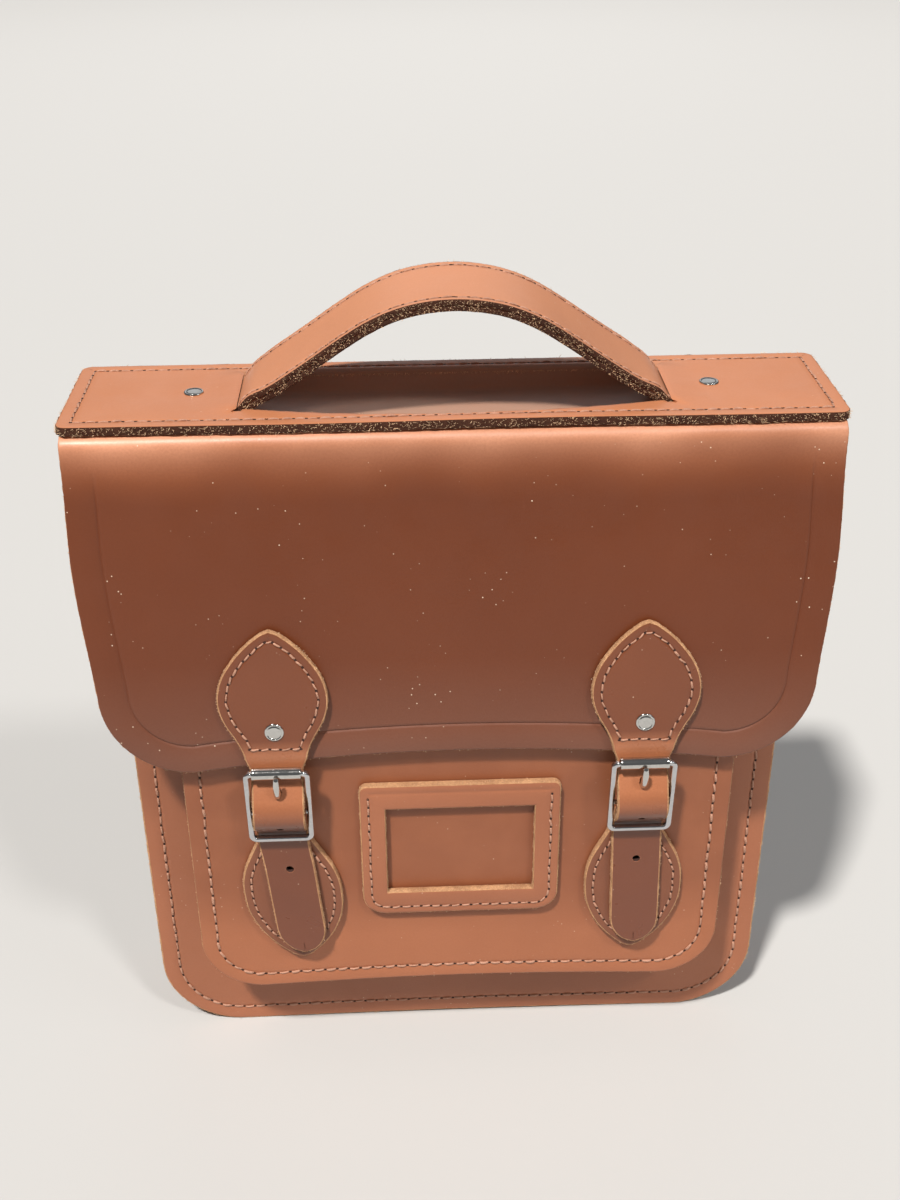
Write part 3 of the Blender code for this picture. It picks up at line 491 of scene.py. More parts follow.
class Nodes:
    def __init__(self, name):
        self.mat = bpy.data.materials.new(name)
        self.mat.use_nodes = True
        self.tree = self.mat.node_tree
        self.shader = self.tree.nodes["Principled BSDF"]
        self.rest = self.node("ShaderNodeAttribute", attribute_name="rest").outputs["Vector"]

    def node(self, kind, inputs=None, **settings):
        made = self.tree.nodes.new(kind)
        for key, value in settings.items():
            setattr(made, key, value)
        for key, value in (inputs or {}).items():
            if isinstance(value, bpy.types.NodeSocket):
                self.tree.links.new(value, made.inputs[key])
            else:
                made.inputs[key].default_value = value
        return made

    def noise(self, scale, detail=3.0, rough=0.55, distort=0.0, vector=None):
        made = self.node("ShaderNodeTexNoise", {
            "Vector": vector or self.rest, "Scale": scale, "Detail": detail, "Roughness": rough, "Distortion": distort,
        })
        return made.outputs["Fac"]

    def voronoi(self, scale, feature="F1", vector=None):
        made = self.node("ShaderNodeTexVoronoi", {"Vector": vector or self.rest, "Scale": scale}, feature=feature)
        return made.outputs["Distance"]

    def math(self, operation, a, b=0.5, c=0.5):
        made = self.node("ShaderNodeMath", operation=operation)
        for k, value in enumerate((a, b, c)):
            if isinstance(value, bpy.types.NodeSocket):
                self.tree.links.new(value, made.inputs[k])
            else:
                made.inputs[k].default_value = value
        return made.outputs[0]

    def range(self, value, low, high, to_low=0.0, to_high=1.0):
        made = self.node("ShaderNodeMapRange", {
            "Value": value, "From Min": low, "From Max": high, "To Min": to_low, "To Max": to_high,
        })
        made.clamp = True
        return made.outputs["Result"]

    def mix(self, share, a, b, mode="MIX"):
        made = self.node("ShaderNodeMix", data_type="RGBA", blend_type=mode)
        for key, value in (("Factor", share), ("A", a), ("B", b)):
            socket = made.inputs[0] if key == "Factor" else made.inputs[6 if key == "A" else 7]
            if isinstance(value, bpy.types.NodeSocket):
                self.tree.links.new(value, socket)
            else:
                socket.default_value = value if key == "Factor" else (*value, 1.0)
        return made.outputs[2]

    def bump(self, height, strength, distance, normal=None):
        inputs = {"Height": height, "Strength": strength, "Distance": distance}
        if normal is not None:
            inputs["Normal"] = normal
        return self.node("ShaderNodeBump", inputs).outputs["Normal"]

    def plug(self, name, value):
        if isinstance(value, bpy.types.NodeSocket):
            self.tree.links.new(value, self.shader.inputs[name])
        else:
            self.shader.inputs[name].default_value = (*value, 1.0) if isinstance(value, tuple) else value


def leather(name, colour, rough=0.45, dust=0.5, tone=1.0, shade=None, coat=0.05):
    """Smooth waxed leather: uneven dye, fine pores, faint scuffs and dust; shade(n, colour) paints light and shade
    onto the colour.
    """
    n = Nodes(name)
    deep = tuple(c * k for c, k in zip(colour, (0.66, 0.6, 0.55)))
    pale = tuple(min(1.0, c * k) for c, k in zip(colour, (1.2, 1.26, 1.32)))
    colour_out = shade(n, colour) if shade else n.mix(0.0, colour, colour)
    cloud = n.range(n.noise(0.011, 1.5, 0.4), 0.38, 0.64)
    colour_out = n.mix(n.math("MULTIPLY", cloud, 0.3 * tone), colour_out, deep)
    mottle = n.range(n.noise(0.05, 3.0, 0.5, 0.2), 0.44, 0.74)
    colour_out = n.mix(n.math("MULTIPLY", mottle, 0.16 * tone), colour_out, pale)
    fine = n.range(n.noise(1.1, 3.0, 0.6), 0.38, 0.66)
    colour_out = n.mix(n.math("MULTIPLY", fine, 0.12), colour_out, deep)
    pores = n.range(n.voronoi(2.6), 0.06, 0.2)
    colour_out = n.mix(n.math("MULTIPLY", n.math("SUBTRACT", 1.0, pores), 0.16), colour_out, deep)
    stretch = n.node("ShaderNodeMapping", {"Vector": n.rest, "Scale": (0.55, 0.05, 1.0),
                                           "Rotation": (0.0, 0.0, 0.35)})
    scratch = n.range(n.noise(1.0, 2.0, 0.7, 0.6, stretch.outputs["Vector"]), 0.735, 0.78)
    colour_out = n.mix(n.math("MULTIPLY", scratch, 0.25), colour_out, pale)
    speck = n.range(n.voronoi(0.3), 0.045, 0.09, 1.0, 0.0)
    some = n.range(n.noise(0.045, 1.0), 0.5, 0.62)
    speck = n.math("MULTIPLY", n.math("MULTIPLY", speck, some), dust)
    colour_out = n.mix(speck, colour_out, (0.75, 0.6, 0.45))
    n.plug("Base Color", colour_out)
    satin = n.range(n.noise(0.07, 3.0, 0.55), 0.3, 0.7, rough - 0.04, rough + 0.08)
    n.plug("Roughness", n.math("ADD", satin, n.math("MULTIPLY", scratch, 0.15)))
    n.plug("Specular IOR Level", 0.45)
    n.plug("Coat Weight", coat)
    n.plug("Coat Roughness", 0.28)
    wave = n.bump(n.noise(0.07, 2.0, 0.45), 0.25, 0.0012)
    crinkle = n.bump(n.noise(0.9, 4.0, 0.6, 0.3), 0.16, 0.0003, wave)
    pebble = n.node("ShaderNodeTexVoronoi", {"Vector": n.rest, "Scale": 1.7}, feature="SMOOTH_F1")
    n.plug("Normal", n.bump(pebble.outputs["Distance"], 0.1, 0.00016, crinkle))
    return n.mat


def flap_painted_light(n, colour):
    """The flap is palest near the fold, a painted highlight where the fold faces up, darkest in its middle, and duller
    towards its lower edge, painted skylight shade.
    """
    along = n.node("ShaderNodeSeparateXYZ", {"Vector": n.rest}).outputs["Y"]
    uneven = n.math("MULTIPLY", n.noise(0.02, 1.5, 0.4), 16.0)
    high = n.range(n.math("ADD", along, uneven), FLAP_LIGHT_BOUNDS[0], FLAP_LIGHT_BOUNDS[1])
    low = n.range(along, FLAP_LIGHT_BOUNDS[2], FLAP_LIGHT_BOUNDS[3])
    out = n.mix(low, colour, FLAP_PAINTED_SKY_SHADE)
    out = n.mix(n.math("POWER", high, 1.3), out, FLAP_PAINTED_WARM_LIGHT)
    return n.mix(n.math("POWER", high, 3.5), out, FLAP_PAINTED_HIGHLIGHT)


def pocket_painted_shade(n, colour):
    """The pocket is paler in its lower part and darker above it, the darker tone being painted shade."""
    along = n.node("ShaderNodeSeparateXYZ", {"Vector": n.rest}).outputs["Y"]
    return n.mix(n.range(along, *POCKET_SHADE_BOUNDS), POCKET_PAINTED_SHADE_COLOUR, colour)


def strap_painted_light(n, colour):
    """The strap is paler where it bends through the buckle than on its head and tail: painted light where the bend
    faces up.
    """
    along = n.node("ShaderNodeSeparateXYZ", {"Vector": n.rest}).outputs["Y"]
    out = n.mix(n.range(along, *BULGE_LIGHT_BOUNDS), colour, BULGE_PAINTED_LIGHT)
    return n.mix(n.range(along, *TAIL_FROM), out, TAIL_TONE)


def hollow_painted_shade(n, colour):
    """The band is darker inside the hollow under the handle: painted shade."""
    place = n.node("ShaderNodeSeparateXYZ", {"Vector": n.rest})
    x = n.math("ABSOLUTE", n.math("SUBTRACT", place.outputs["X"], BAND_SEED))
    y = place.outputs["Y"]
    bow = n.math("MULTIPLY", n.math("POWER", n.math("DIVIDE", x, SLOT_IN), 2.0), HOLLOW_BOW)
    near = n.range(n.math("SUBTRACT", y, bow), HOLLOW_NEAR + 0.4, HOLLOW_NEAR + 1.8)
    far = n.range(y, 51.4, 50.2)
    side = n.range(x, SLOT_IN + 3.0, SLOT_IN - 0.5)
    return n.mix(n.math("MULTIPLY", n.math("MULTIPLY", near, far), side), colour, HOLLOW_PAINTED_SHADE_COLOUR)


def raw_edge(name, pale, dark, contrast=0.7):
    """Cut edge of leather: layered, fibrous, pale where it is worn and dark where it is dyed."""
    n = Nodes(name)
    stretch = n.node("ShaderNodeMapping", {"Vector": n.rest, "Scale": (1.3, 1.3, 3.2)}).outputs["Vector"]
    layers = n.range(n.noise(1.0, 4.0, 0.7, 0.6, stretch), 0.36, 0.64)
    patch = n.range(n.noise(0.14, 3.0, 0.6), 0.38, 0.62)
    fibre = n.range(n.noise(4.2, 3.0, 0.7), 0.42, 0.62)
    colour_out = n.mix(n.math("MULTIPLY", layers, contrast), pale, dark)
    colour_out = n.mix(n.math("MULTIPLY", patch, 0.6), colour_out, dark)
    colour_out = n.mix(n.math("MULTIPLY", fibre, 0.35), colour_out, tuple(min(1, c * 1.5) for c in pale))
    n.plug("Base Color", colour_out)
    n.plug("Roughness", n.range(fibre, 0, 1, 0.82, 0.95))
    n.plug("Specular IOR Level", 0.2)
    first = n.bump(layers, 0.6, 0.0004)
    n.plug("Normal", n.bump(fibre, 0.6, 0.0002, first))
    return n.mat


def flesh(name, colour):
    """Inner face of the leather: matt, napped and a little paler."""
    n = Nodes(name)
    nap = n.range(n.noise(1.6, 4.0, 0.7, 0.5), 0.35, 0.65)
    patch = n.range(n.noise(0.06, 3.0, 0.6), 0.35, 0.65)
    colour_out = n.mix(n.math("MULTIPLY", nap, 0.35), colour, tuple(c * 0.6 for c in colour))
    n.plug("Base Color", n.mix(n.math("MULTIPLY", patch, 0.3), colour_out, tuple(min(1, c * 1.3) for c in colour)))
    n.plug("Roughness", n.range(nap, 0, 1, 0.84, 0.95))
    n.plug("Specular IOR Level", 0.2)
    n.plug("Sheen Weight", 0.15)
    n.plug("Normal", n.bump(nap, 0.4, 0.0003))
    return n.mat


def thread(name, colour):
    n = Nodes(name)
    twist = n.node("ShaderNodeMapping", {"Vector": n.rest, "Scale": (2.2, 2.2, 2.2),
                                         "Rotation": (0.3, 0.2, 0.8)})
    ply = n.range(n.noise(1.0, 2.0, 0.6, 0.2, twist.outputs["Vector"]), 0.4, 0.6)
    patch = n.range(n.noise(0.12, 2.0), 0.38, 0.64)
    colour_out = n.mix(n.math("MULTIPLY", ply, 0.4), colour, tuple(c * 0.6 for c in colour))
    n.plug("Base Color", n.mix(n.math("MULTIPLY", patch, 0.35), colour_out, tuple(min(1, c * 1.4) for c in colour)))
    n.plug("Roughness", n.range(ply, 0, 1, 0.55, 0.72))
    n.plug("Specular IOR Level", 0.25)
    n.plug("Normal", n.bump(ply, 0.6, 0.0003))
    return n.mat


def plain(name, colour, rough):
    """Matt stuff seen only as specks: holes, whose dark is painted shade, and fibres."""
    n = Nodes(name)
    patch = n.range(n.noise(0.5, 2.0), 0.35, 0.65)
    n.plug("Base Color", n.mix(patch, colour, tuple(c * 0.6 for c in colour)))
    n.plug("Roughness", n.range(patch, 0, 1, rough, min(1.0, rough + 0.1)))
    return n.mat


def metal(name, colour, rough):
    """Bright plated metal, its plating slightly cloudy and its gloss marked by handling."""
    n = Nodes(name)
    cloud = n.range(n.noise(0.55, 3.0, 0.6, 0.8), 0.4, 0.62)
    n.plug("Base Color", n.mix(n.math("MULTIPLY", cloud, 0.18), colour, tuple(c * 0.5 for c in colour)))
    n.plug("Metallic", 1.0)
    scuff = n.range(n.noise(2.2, 3.0, 0.7), 0.45, 0.7)
    n.plug("Roughness", n.math("ADD", n.range(cloud, 0, 1, rough, rough + 0.05), n.math("MULTIPLY", scuff, 0.05)))
    n.plug("Normal", n.bump(n.noise(0.6, 2.0, 0.5), 0.08, 0.0003))
    return n.mat


TAN = leather("tan leather", (0.36, 0.127, 0.06))
# pocket: painted shade on its upper part
PATCH = leather("pocket leather", (0.37, 0.127, 0.056), 0.44, shade=pocket_painted_shade)
# flap: painted highlight near the fold, painted skylight shade low down
FLAP = leather("flap leather", (0.135, 0.0325, 0.0095), 0.4, 0.9, 0.8, flap_painted_light)
# band: painted shade in the hollow under the handle
RIM_TAN = leather("band leather", (0.5, 0.193, 0.09), 0.38, 0.4, 0.7, hollow_painted_shade)
SIDE = leather("gusset leather", (0.30, 0.102, 0.047), 0.48)
# strap: painted light where it bends through the buckle
STRAP = leather("strap leather", (0.17, 0.046, 0.0155), 0.3, shade=strap_painted_light, coat=0.3)
PAD_TAN = leather("chape leather", (0.22, 0.074, 0.035), 0.4)
GRIP = leather("handle leather", (0.53, 0.225, 0.118), 0.42, 0.4, 0.6)
EDGE_TAN = raw_edge("raw edge", (0.76, 0.42, 0.22), (0.27, 0.105, 0.048))
EDGE_DARK = raw_edge("dark raw edge", (0.1, 0.037, 0.02), (0.028, 0.01, 0.006), 0.85)
INNER = flesh("flesh side", (0.36, 0.2, 0.115))
THREAD = thread("thread", (0.47, 0.25, 0.17))
# stitch and punch holes: their dark is painted shade
HOLE_SHADE = plain("stitch hole shade", (0.045, 0.015, 0.009), 0.85)
FUZZ = plain("leather fibres", (0.9, 0.6, 0.36), 0.85)
CHROME = metal("chrome", (0.6, 0.6, 0.61), 0.04)
NICKEL = metal("nickel", (0.62, 0.61, 0.585), 0.06)
PANEL = [TAN, EDGE_TAN, INNER]
POCKET = [PATCH, EDGE_TAN, INNER]
COVER = [FLAP, EDGE_TAN, INNER]
GUSSET = [SIDE, EDGE_TAN, INNER]
LEAVES = [STRAP, EDGE_TAN, INNER]
PADS = [PAD_TAN, EDGE_TAN, INNER]
HANDLE = [GRIP, EDGE_DARK, GRIP]
BAND = [RIM_TAN, EDGE_DARK, INNER]
SEWN = [THREAD, HOLE_SHADE]


def settle(obj, body=None, bend=None, nodes=()):
    """The piece's place in the bag: rides on a body, or, given a bend, stays where it is on no body, its transform
    baked into its mesh; the bend's bodies and points are not used.
    """
    if bend:
        first, second, start, end = bend
        metres(*start)
        metres(*end)
        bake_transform(obj)
    else:
        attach(obj, body)
    if nodes:
        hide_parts(*nodes)
    return obj


def sewn(soup, name, body=None, bend=None):
    return settle(soup.make(name, SEWN, merge=False), body, bend)


def fuzzy(soup, name, body=None, bend=None):
    return settle(soup.make(name, [FUZZ], merge=False, sharp=0), body, bend)


def metres(x, y, z):
    return (x * 0.001, (y - Y_CENTRE) * 0.001, z * 0.001)


def rounded_rect(half, low, high, low_r, high_r, spacing=2.0):
    """Symmetric upright rectangle with round corners, as the four sides of an outline."""
    bottom = np.concatenate([
        arc((-half + low_r, low + low_r), low_r, 225, 270), arc((half - low_r, low + low_r), low_r, 270, 315),
    ])
    top = np.concatenate([
        arc((half - high_r, high - high_r), high_r, 45, 90), arc((-half + high_r, high - high_r), high_r, 90, 135),
    ])
    right = np.concatenate([
        arc((half - low_r, low + low_r), low_r, 315, 360), arc((half - high_r, high - high_r), high_r, 0, 45),
    ])
    left = right[::-1] * (-1, 1)
    bottom = fill(bottom)
    nb = len(resample(bottom, spacing=spacing)) - 1
    nr = len(resample(fill(right), spacing=spacing)) - 1
    return outline_of(
        resample(bottom, nb, spacing), resample(fill(right), nr, spacing),
        resample(fill(top), nb, spacing), resample(fill(left), nr, spacing),
    )


def fill(points, step=0.5):
    """Long straight stretches of a polyline cut into short ones."""
    out = [points[0]]
    for a, b in zip(points[:-1], points[1:]):
        count = max(1, int(np.linalg.norm(b - a) / step))
        out += [a + (b - a) * (k + 1) / count for k in range(count)]
    return np.array(out)


def leaf_sides(levels, halves, spacing=0.9, across=None):
    """Sides of a symmetric leaf shape, from levels (rising) and half widths."""
    right = fill(np.stack([halves, levels], 1), 0.3)
    count = len(resample(right, spacing=spacing)) - 1
    across = across or max(8, int(2 * max(halves) / spacing / 1.4))
    r = resample(right, count, spacing)
    l = r[::-1] * (-1, 1)
    bottom = np.stack([np.linspace(-r[0, 0], r[0, 0], across + 1), np.full(across + 1, r[0, 1])], 1)
    top = np.stack([np.linspace(r[-1, 0], -r[-1, 0], across + 1), np.full(across + 1, r[-1, 1])], 1)
    return outline_of(bottom, r, top, l)


# ---------------------------------------------------------------- body and pocket


def u_path(half, bottom, corner, top, inwards, step=2.2):
    """Points of a U, from the top left down, round and up to the top right, moved inwards."""
    h, b, r = half - inwards, bottom + inwards, corner - inwards
    side = max(2, int((top - bottom - corner) / (step * 1.6)))
    floor = max(2, int(2 * (half - corner) / (step * 1.6)))
    turn = np.radians(np.linspace(180, 270, 17))
    left = np.stack([np.full(side + 1, -h), np.linspace(top, b + r, side + 1)], 1)
    low = np.stack([-h + r + r * np.cos(turn), b + r + r * np.sin(turn)], 1)
    flat = np.stack([np.linspace(-h + r, h - r, floor + 1), np.full(floor + 1, b)], 1)
    high = low[::-1] * (-1, 1)
    right = left[::-1] * (-1, 1)
    return np.concatenate([left[:-1], low[:-1], flat[:-1], high[:-1], right])


def strip(soup, half, bottom, corner, top, profile, thick, seed=0.0, sway=0.0):
    """Folded leather strip round a U: profile lists (inset, y) along its middle, from one flange to the other."""
    line = resample(spline(profile, 0.2), spacing=1.6, turn=0.2)
    p = Path(line)
    lay = [(s, thick / 2, GRAIN) for s in p.s]
    lay[0], lay[-1] = (0.35, thick / 2, GRAIN), (p.s[-1] - 0.35, thick / 2, EDGE)
    lay += [(p.s[-1], thick / 2 - 0.4, EDGE), (p.s[-1], 0.0, EDGE), (p.s[-1], 0.4 - thick / 2, EDGE)]
    back = [(s, -thick / 2, FLESH) for s in p.s[::-1]]
    back[0], back[-1] = (p.s[-1] - 0.35, -thick / 2, FLESH), (0.35, -thick / 2, EDGE)
    lay += back + [(0.0, 0.4 - thick / 2, EDGE), (0.0, 0.0, EDGE), (0.0, thick / 2 - 0.4, EDGE)]
    s, h = np.array([(a, b) for a, b, _ in lay]).T
    inwards, y = p.at(s, h)
    rows = []
    for a, b in zip(inwards, y):
        u = u_path(half, bottom, corner, top, a)
        middle = np.sin(np.pi * np.clip((b - profile[0][1]) / (profile[-1][1] - profile[0][1]), 0, 1))
        push = sway * middle * np.sin(np.pi * np.clip((u[:, 1] - bottom - corner) / (top - bottom - corner), 0, 1))
        rows.append(np.stack([u[:, 0] - np.sign(u[:, 0]) * push, np.full(len(u), b), u[:, 1]], 1))
    rows = np.array(rows)
    count = rows.shape[1]
    faces = grid_faces(len(rows), count)
    last = np.arange(count - 1) + (len(rows) - 1) * count
    close = np.stack([last, last + 1, np.arange(1, count), np.arange(count - 1)], -1)
    slots = np.repeat([k for _, _, k in lay], count - 1)
    soup.add(rows.reshape(-1, 3), np.concatenate([faces, close]), slots, rows.reshape(-1, 3) + seed)
    for end in (0, count - 1):
        n = len(p.s)
        outer, inner = rows[:n, end], rows[n + 3 : 2 * n + 3, end][::-1]
        pts = np.concatenate([outer, inner])
        soup.add(pts, [(k, k + 1, n + k + 1, n + k) for k in range(n - 1)], EDGE)


def build_body():
    rng = np.random.default_rng(11)
    ring, counts = rounded_rect(PANEL_HALF, 0.0, PANEL_TOP, PANEL_CORNER, 6.0, 2.4)

    def front(a, b, h):
        sag = 1.0 * np.cos(np.clip(a / 95.0, -1, 1) * np.pi / 2) * (1 - smooth(0, 30, b))
        wave = 0.35 * np.sin(a * 0.035 + 1.0) * smooth(2, 40, b)
        return np.stack([a, FRONT_Y - h + wave, b + sag], 1)

    soup = Soup()
    plate(soup, ring, counts, front, LEATHER, [(7.0, 0.75, 0.3)], rng=rng, seed=300.0, worn=True)
    settle(soup.make("front_panel_leather", PANEL), "body", nodes=["front_panel"])
    sew, fuzz = Soup(), Soup()
    for line in open_line(ring, 7.0, lambda a, b: b < 240):
        stitch(sew, line, front, rng, 4.75)
    sewn(sew, "front_panel_stitches", "body")
    low = open_line(ring, 0.05, lambda a, b: b < 200)[0]
    fibres(fuzz, low, front, rng, 3.0, closed=False)

    y0 = FRONT_Y + LEATHER + GAP + LEATHER / 2
    y1 = BACK_Y - LEATHER - GAP - LEATHER / 2
    soup = Soup()
    profile = (
        (0.0, y0), (3.5, y0), (RIM - 3.0, y0), (RIM - 0.9, y0 + 0.9), (RIM, y0 + 3.0), (RIM, y0 + 12),
        (RIM, y1 - 12), (RIM, y1 - 3.0), (RIM - 0.9, y1 - 0.9), (RIM - 3.0, y1), (3.5, y1), (0.0, y1),
    )
    strip(soup, PANEL_HALF, 0.0, PANEL_CORNER, PANEL_TOP, profile, LEATHER, 40.0, sway=1.6)
    settle(soup.make("main_gusset_leather", GUSSET), "body", nodes=["main_gusset"])

    def flange(a, b, h):
        return np.stack([a, y0 - LEATHER / 2 - h, b], 1)

    def rear_flange(a, b, h):
        return np.stack([a, y1 + LEATHER / 2 + h, b], 1)

    fibres(fuzz, low, flange, rng, 2.5, closed=False)
    fibres(fuzz, low, rear_flange, rng, 2.0, closed=False)
    fuzzy(fuzz, "body_rim_fibres", "body")


def build_pocket():
    rng = np.random.default_rng(12)
    ring, counts = rounded_rect(POCKET_HALF, POCKET_LOW, POCKET_TOP, POCKET_CORNER, 5.0, 2.2)

    def front(a, b, h):
        sag = 2.2 * np.cos(np.clip(a / 80.0, -1, 1) * np.pi / 2) * (1 - smooth(40, 75, b))
        return np.stack([a, POCKET_Y - h, b + sag], 1)

    soup = Soup()
    plate(soup, ring, counts, front, LEATHER, [(6.4, 0.75, 0.3)], rng=rng, seed=900.0)
    settle(soup.make("pocket_front_leather", POCKET), "body", nodes=["pocket_front"])
    sew, fuzz = Soup(), Soup()
    for line in open_line(ring, 6.4, lambda a, b: b < 160):
        stitch(sew, line, front, rng, 4.75)
    sewn(sew, "pocket_stitches", "body")
    low = open_line(ring, 0.05, lambda a, b: b < 160)[0]
    fibres(fuzz, low, front, rng, 1.5, reach=(0.2, 0.6), closed=False)

    y0 = POCKET_Y + LEATHER + GAP + LEATHER / 2
    y1 = FRONT_Y - GAP - LEATHER / 2
    r = POCKET_RIM
    profile = (
        (0.0, y0), (2.6, y0), (r - 2.6, y0), (r - 0.8, y0 + 0.8), (r, y0 + 2.6), (r, (y0 + y1) / 2),
        (r, y1 - 2.6), (r + 0.8, y1 - 0.8), (r + 2.6, y1), (r + 5.0, y1), (r + 9.0, y1),
    )
    soup = Soup()
    strip(soup, POCKET_HALF, POCKET_LOW, POCKET_CORNER, POCKET_TOP, profile, LEATHER, 70.0)
    settle(soup.make("pocket_gusset_leather", GUSSET), "body", nodes=["pocket_gusset"])

    # label frame
    outer, counts = rounded_rect(LABEL_HALF, LABEL_LOW, LABEL_HIGH, 9.0, 3.0, 1.6)
    window = window_like(outer, counts)

    def label(a, b, h):
        edge = np.minimum(LABEL_HALF - np.abs(a), np.minimum(b - LABEL_LOW, LABEL_HIGH - b))
        return np.stack([a, POCKET_Y - GAP - LEATHER - h - 0.25 * smooth(0, 5, edge), b], 1)

    soup = Soup()
    annulus(soup, outer, window, label, LEATHER, rng)
    settle(soup.make("label_frame_leather", PANEL), "body", nodes=["id_frame"])
    sew = Soup()
    for line in open_line(outer, 3.5, lambda a, b: b < LABEL_HIGH - 5.5):
        stitch(sew, line, label, rng, 3.9, 0.34)
    sewn(sew, "label_frame_stitches", "body")
    fibres(fuzz, outer, label, rng, 2.0, reach=(0.15, 0.45))
    fibres(fuzz, window[::-1], label, rng, 2.0, reach=(0.15, 0.45))
    fuzzy(fuzz, "pocket_fibres", "body")


def window_like(outer, counts):
    """The window's outline with as many points as the frame's, side by side."""
    w, low, high = WINDOW_HALF, WINDOW_LOW, WINDOW_HIGH
    corners = [np.array(c) for c in ((-w, low), (w, low), (w, high), (-w, high))]
    parts, at = [], 0
    whole = np.concatenate([outer, outer[:1]])
    for k, count in enumerate(counts):
        side = whole[at : at + count + 1]
        share = lengths(side) / lengths(side)[-1]
        parts.append((corners[k] + (corners[(k + 1) % 4] - corners[k]) * share[:-1, None]))
        at += count
    return np.concatenate(parts)


def annulus(soup, outer, window, place, thick, rng):
    t = thick
    edge = [(1.0, -t, FLESH), (0.14, -t + 0.14, EDGE), (0.0, -t + 0.45, EDGE), (0.0, -t / 2, EDGE)]
    edge += [(0.03, -0.55, EDGE), (0.16, -0.24, EDGE), (0.45, -0.06, GRAIN), (1.0, 0.0, GRAIN)]
    rings = [(inset(outer, d), h, m) for d, h, m in edge]
    rings += [(inset(outer, a), h, GRAIN) for a, h in groove_rows(3.5, 0.7, 0.25)]
    centre = window.mean(0)

    def grown(d):
        size = np.array([WINDOW_HALF, (WINDOW_HIGH - WINDOW_LOW) / 2])
        return centre + (window - centre) * (size + d) / size

    rings += [(grown(d), h, m) for d, h, m in ((2.2, 0.0, GRAIN), (1.0, 0.0, GRAIN), (0.4, -0.06, EDGE),
                                              (0.1, -0.3, EDGE), (0.0, -t / 2, EDGE), (0.05, -t + 0.3, EDGE), (0.4, -t, FLESH))]
    flat = np.concatenate([r for r, _, _ in rings])
    h = np.concatenate([np.full(len(outer), h) for _, h, _ in rings])
    h = h + np.where((h < -0.2) & (h > -t + 0.2), rng.normal(0, 0.05, len(h)), 0)
    count = len(outer)
    faces = grid_faces(len(rings), count, wrap=True)
    last = np.arange(count) + (len(rings) - 1) * count
    close = np.stack([last, np.roll(last, -1), np.roll(np.arange(count), -1), np.arange(count)], -1)
    slots = np.repeat([m for _, _, m in rings], count)
    rest = np.column_stack([flat[:, 0] + 1500, flat[:, 1], h])
    soup.add(place(flat[:, 0], flat[:, 1], h), np.concatenate([faces, close]), slots, rest)


# ---------------------------------------------------------------- back, flap and band


def front_edge(x):
    """Where the hollow between the handle slots starts, behind the band's front edge."""
    return HOLLOW_NEAR + HOLLOW_BOW * (np.clip(np.abs(x) / SLOT_IN, 0, 1)) ** 2


def dip(x, y):
    """How far the band's middle sags between the two handle slots."""
    along = 1 - smooth(SLOT_IN - 1.0, SLOT_OUT - 1.8, np.abs(x))
    start = front_edge(x)
    return TROUGH * along * smooth(start, start + 6.5, y) * (1 - smooth(44.5, 51.0, y))


def swell(x, y):
    """How far the band is lifted by the handle end under it."""
    inward = smooth(SLOT_OUT - 3, SLOT_OUT - 0.6, np.abs(x)) * (1 - smooth(SLOT_OUT, 87, np.abs(x)))
    return BULGE * inward * smooth(8, 16, y) * (1 - smooth(44, 52, y))


def under(x, y):
    """How far the flap leather under the band is pushed down, by the dip and by the handle ends."""
    ends = RECESS * (1 - smooth(104, 114, np.abs(x))) * smooth(5, 12, y) * (1 - smooth(48, 55, y))
    deep = 1.15 * TROUGH * (1 - smooth(75.5, 84.0, np.abs(x)))
    start = front_edge(x)
    return np.maximum(ends, deep * smooth(start - 2.8, start + 4.0, y) * (1 - smooth(46.4, 54.4, y)))


MEET_Y = 30.0
ROOF = FOLD_Z + FOLD_R + LEATHER / 2


def over_top(path):
    def place(a, b, h):
        y, z = path.at(b, h)
        flat = smooth(ROOF - 3.5, ROOF - 0.5, z - h)
        return np.stack([a, y, z - under(a, y) * flat], 1)
    return place


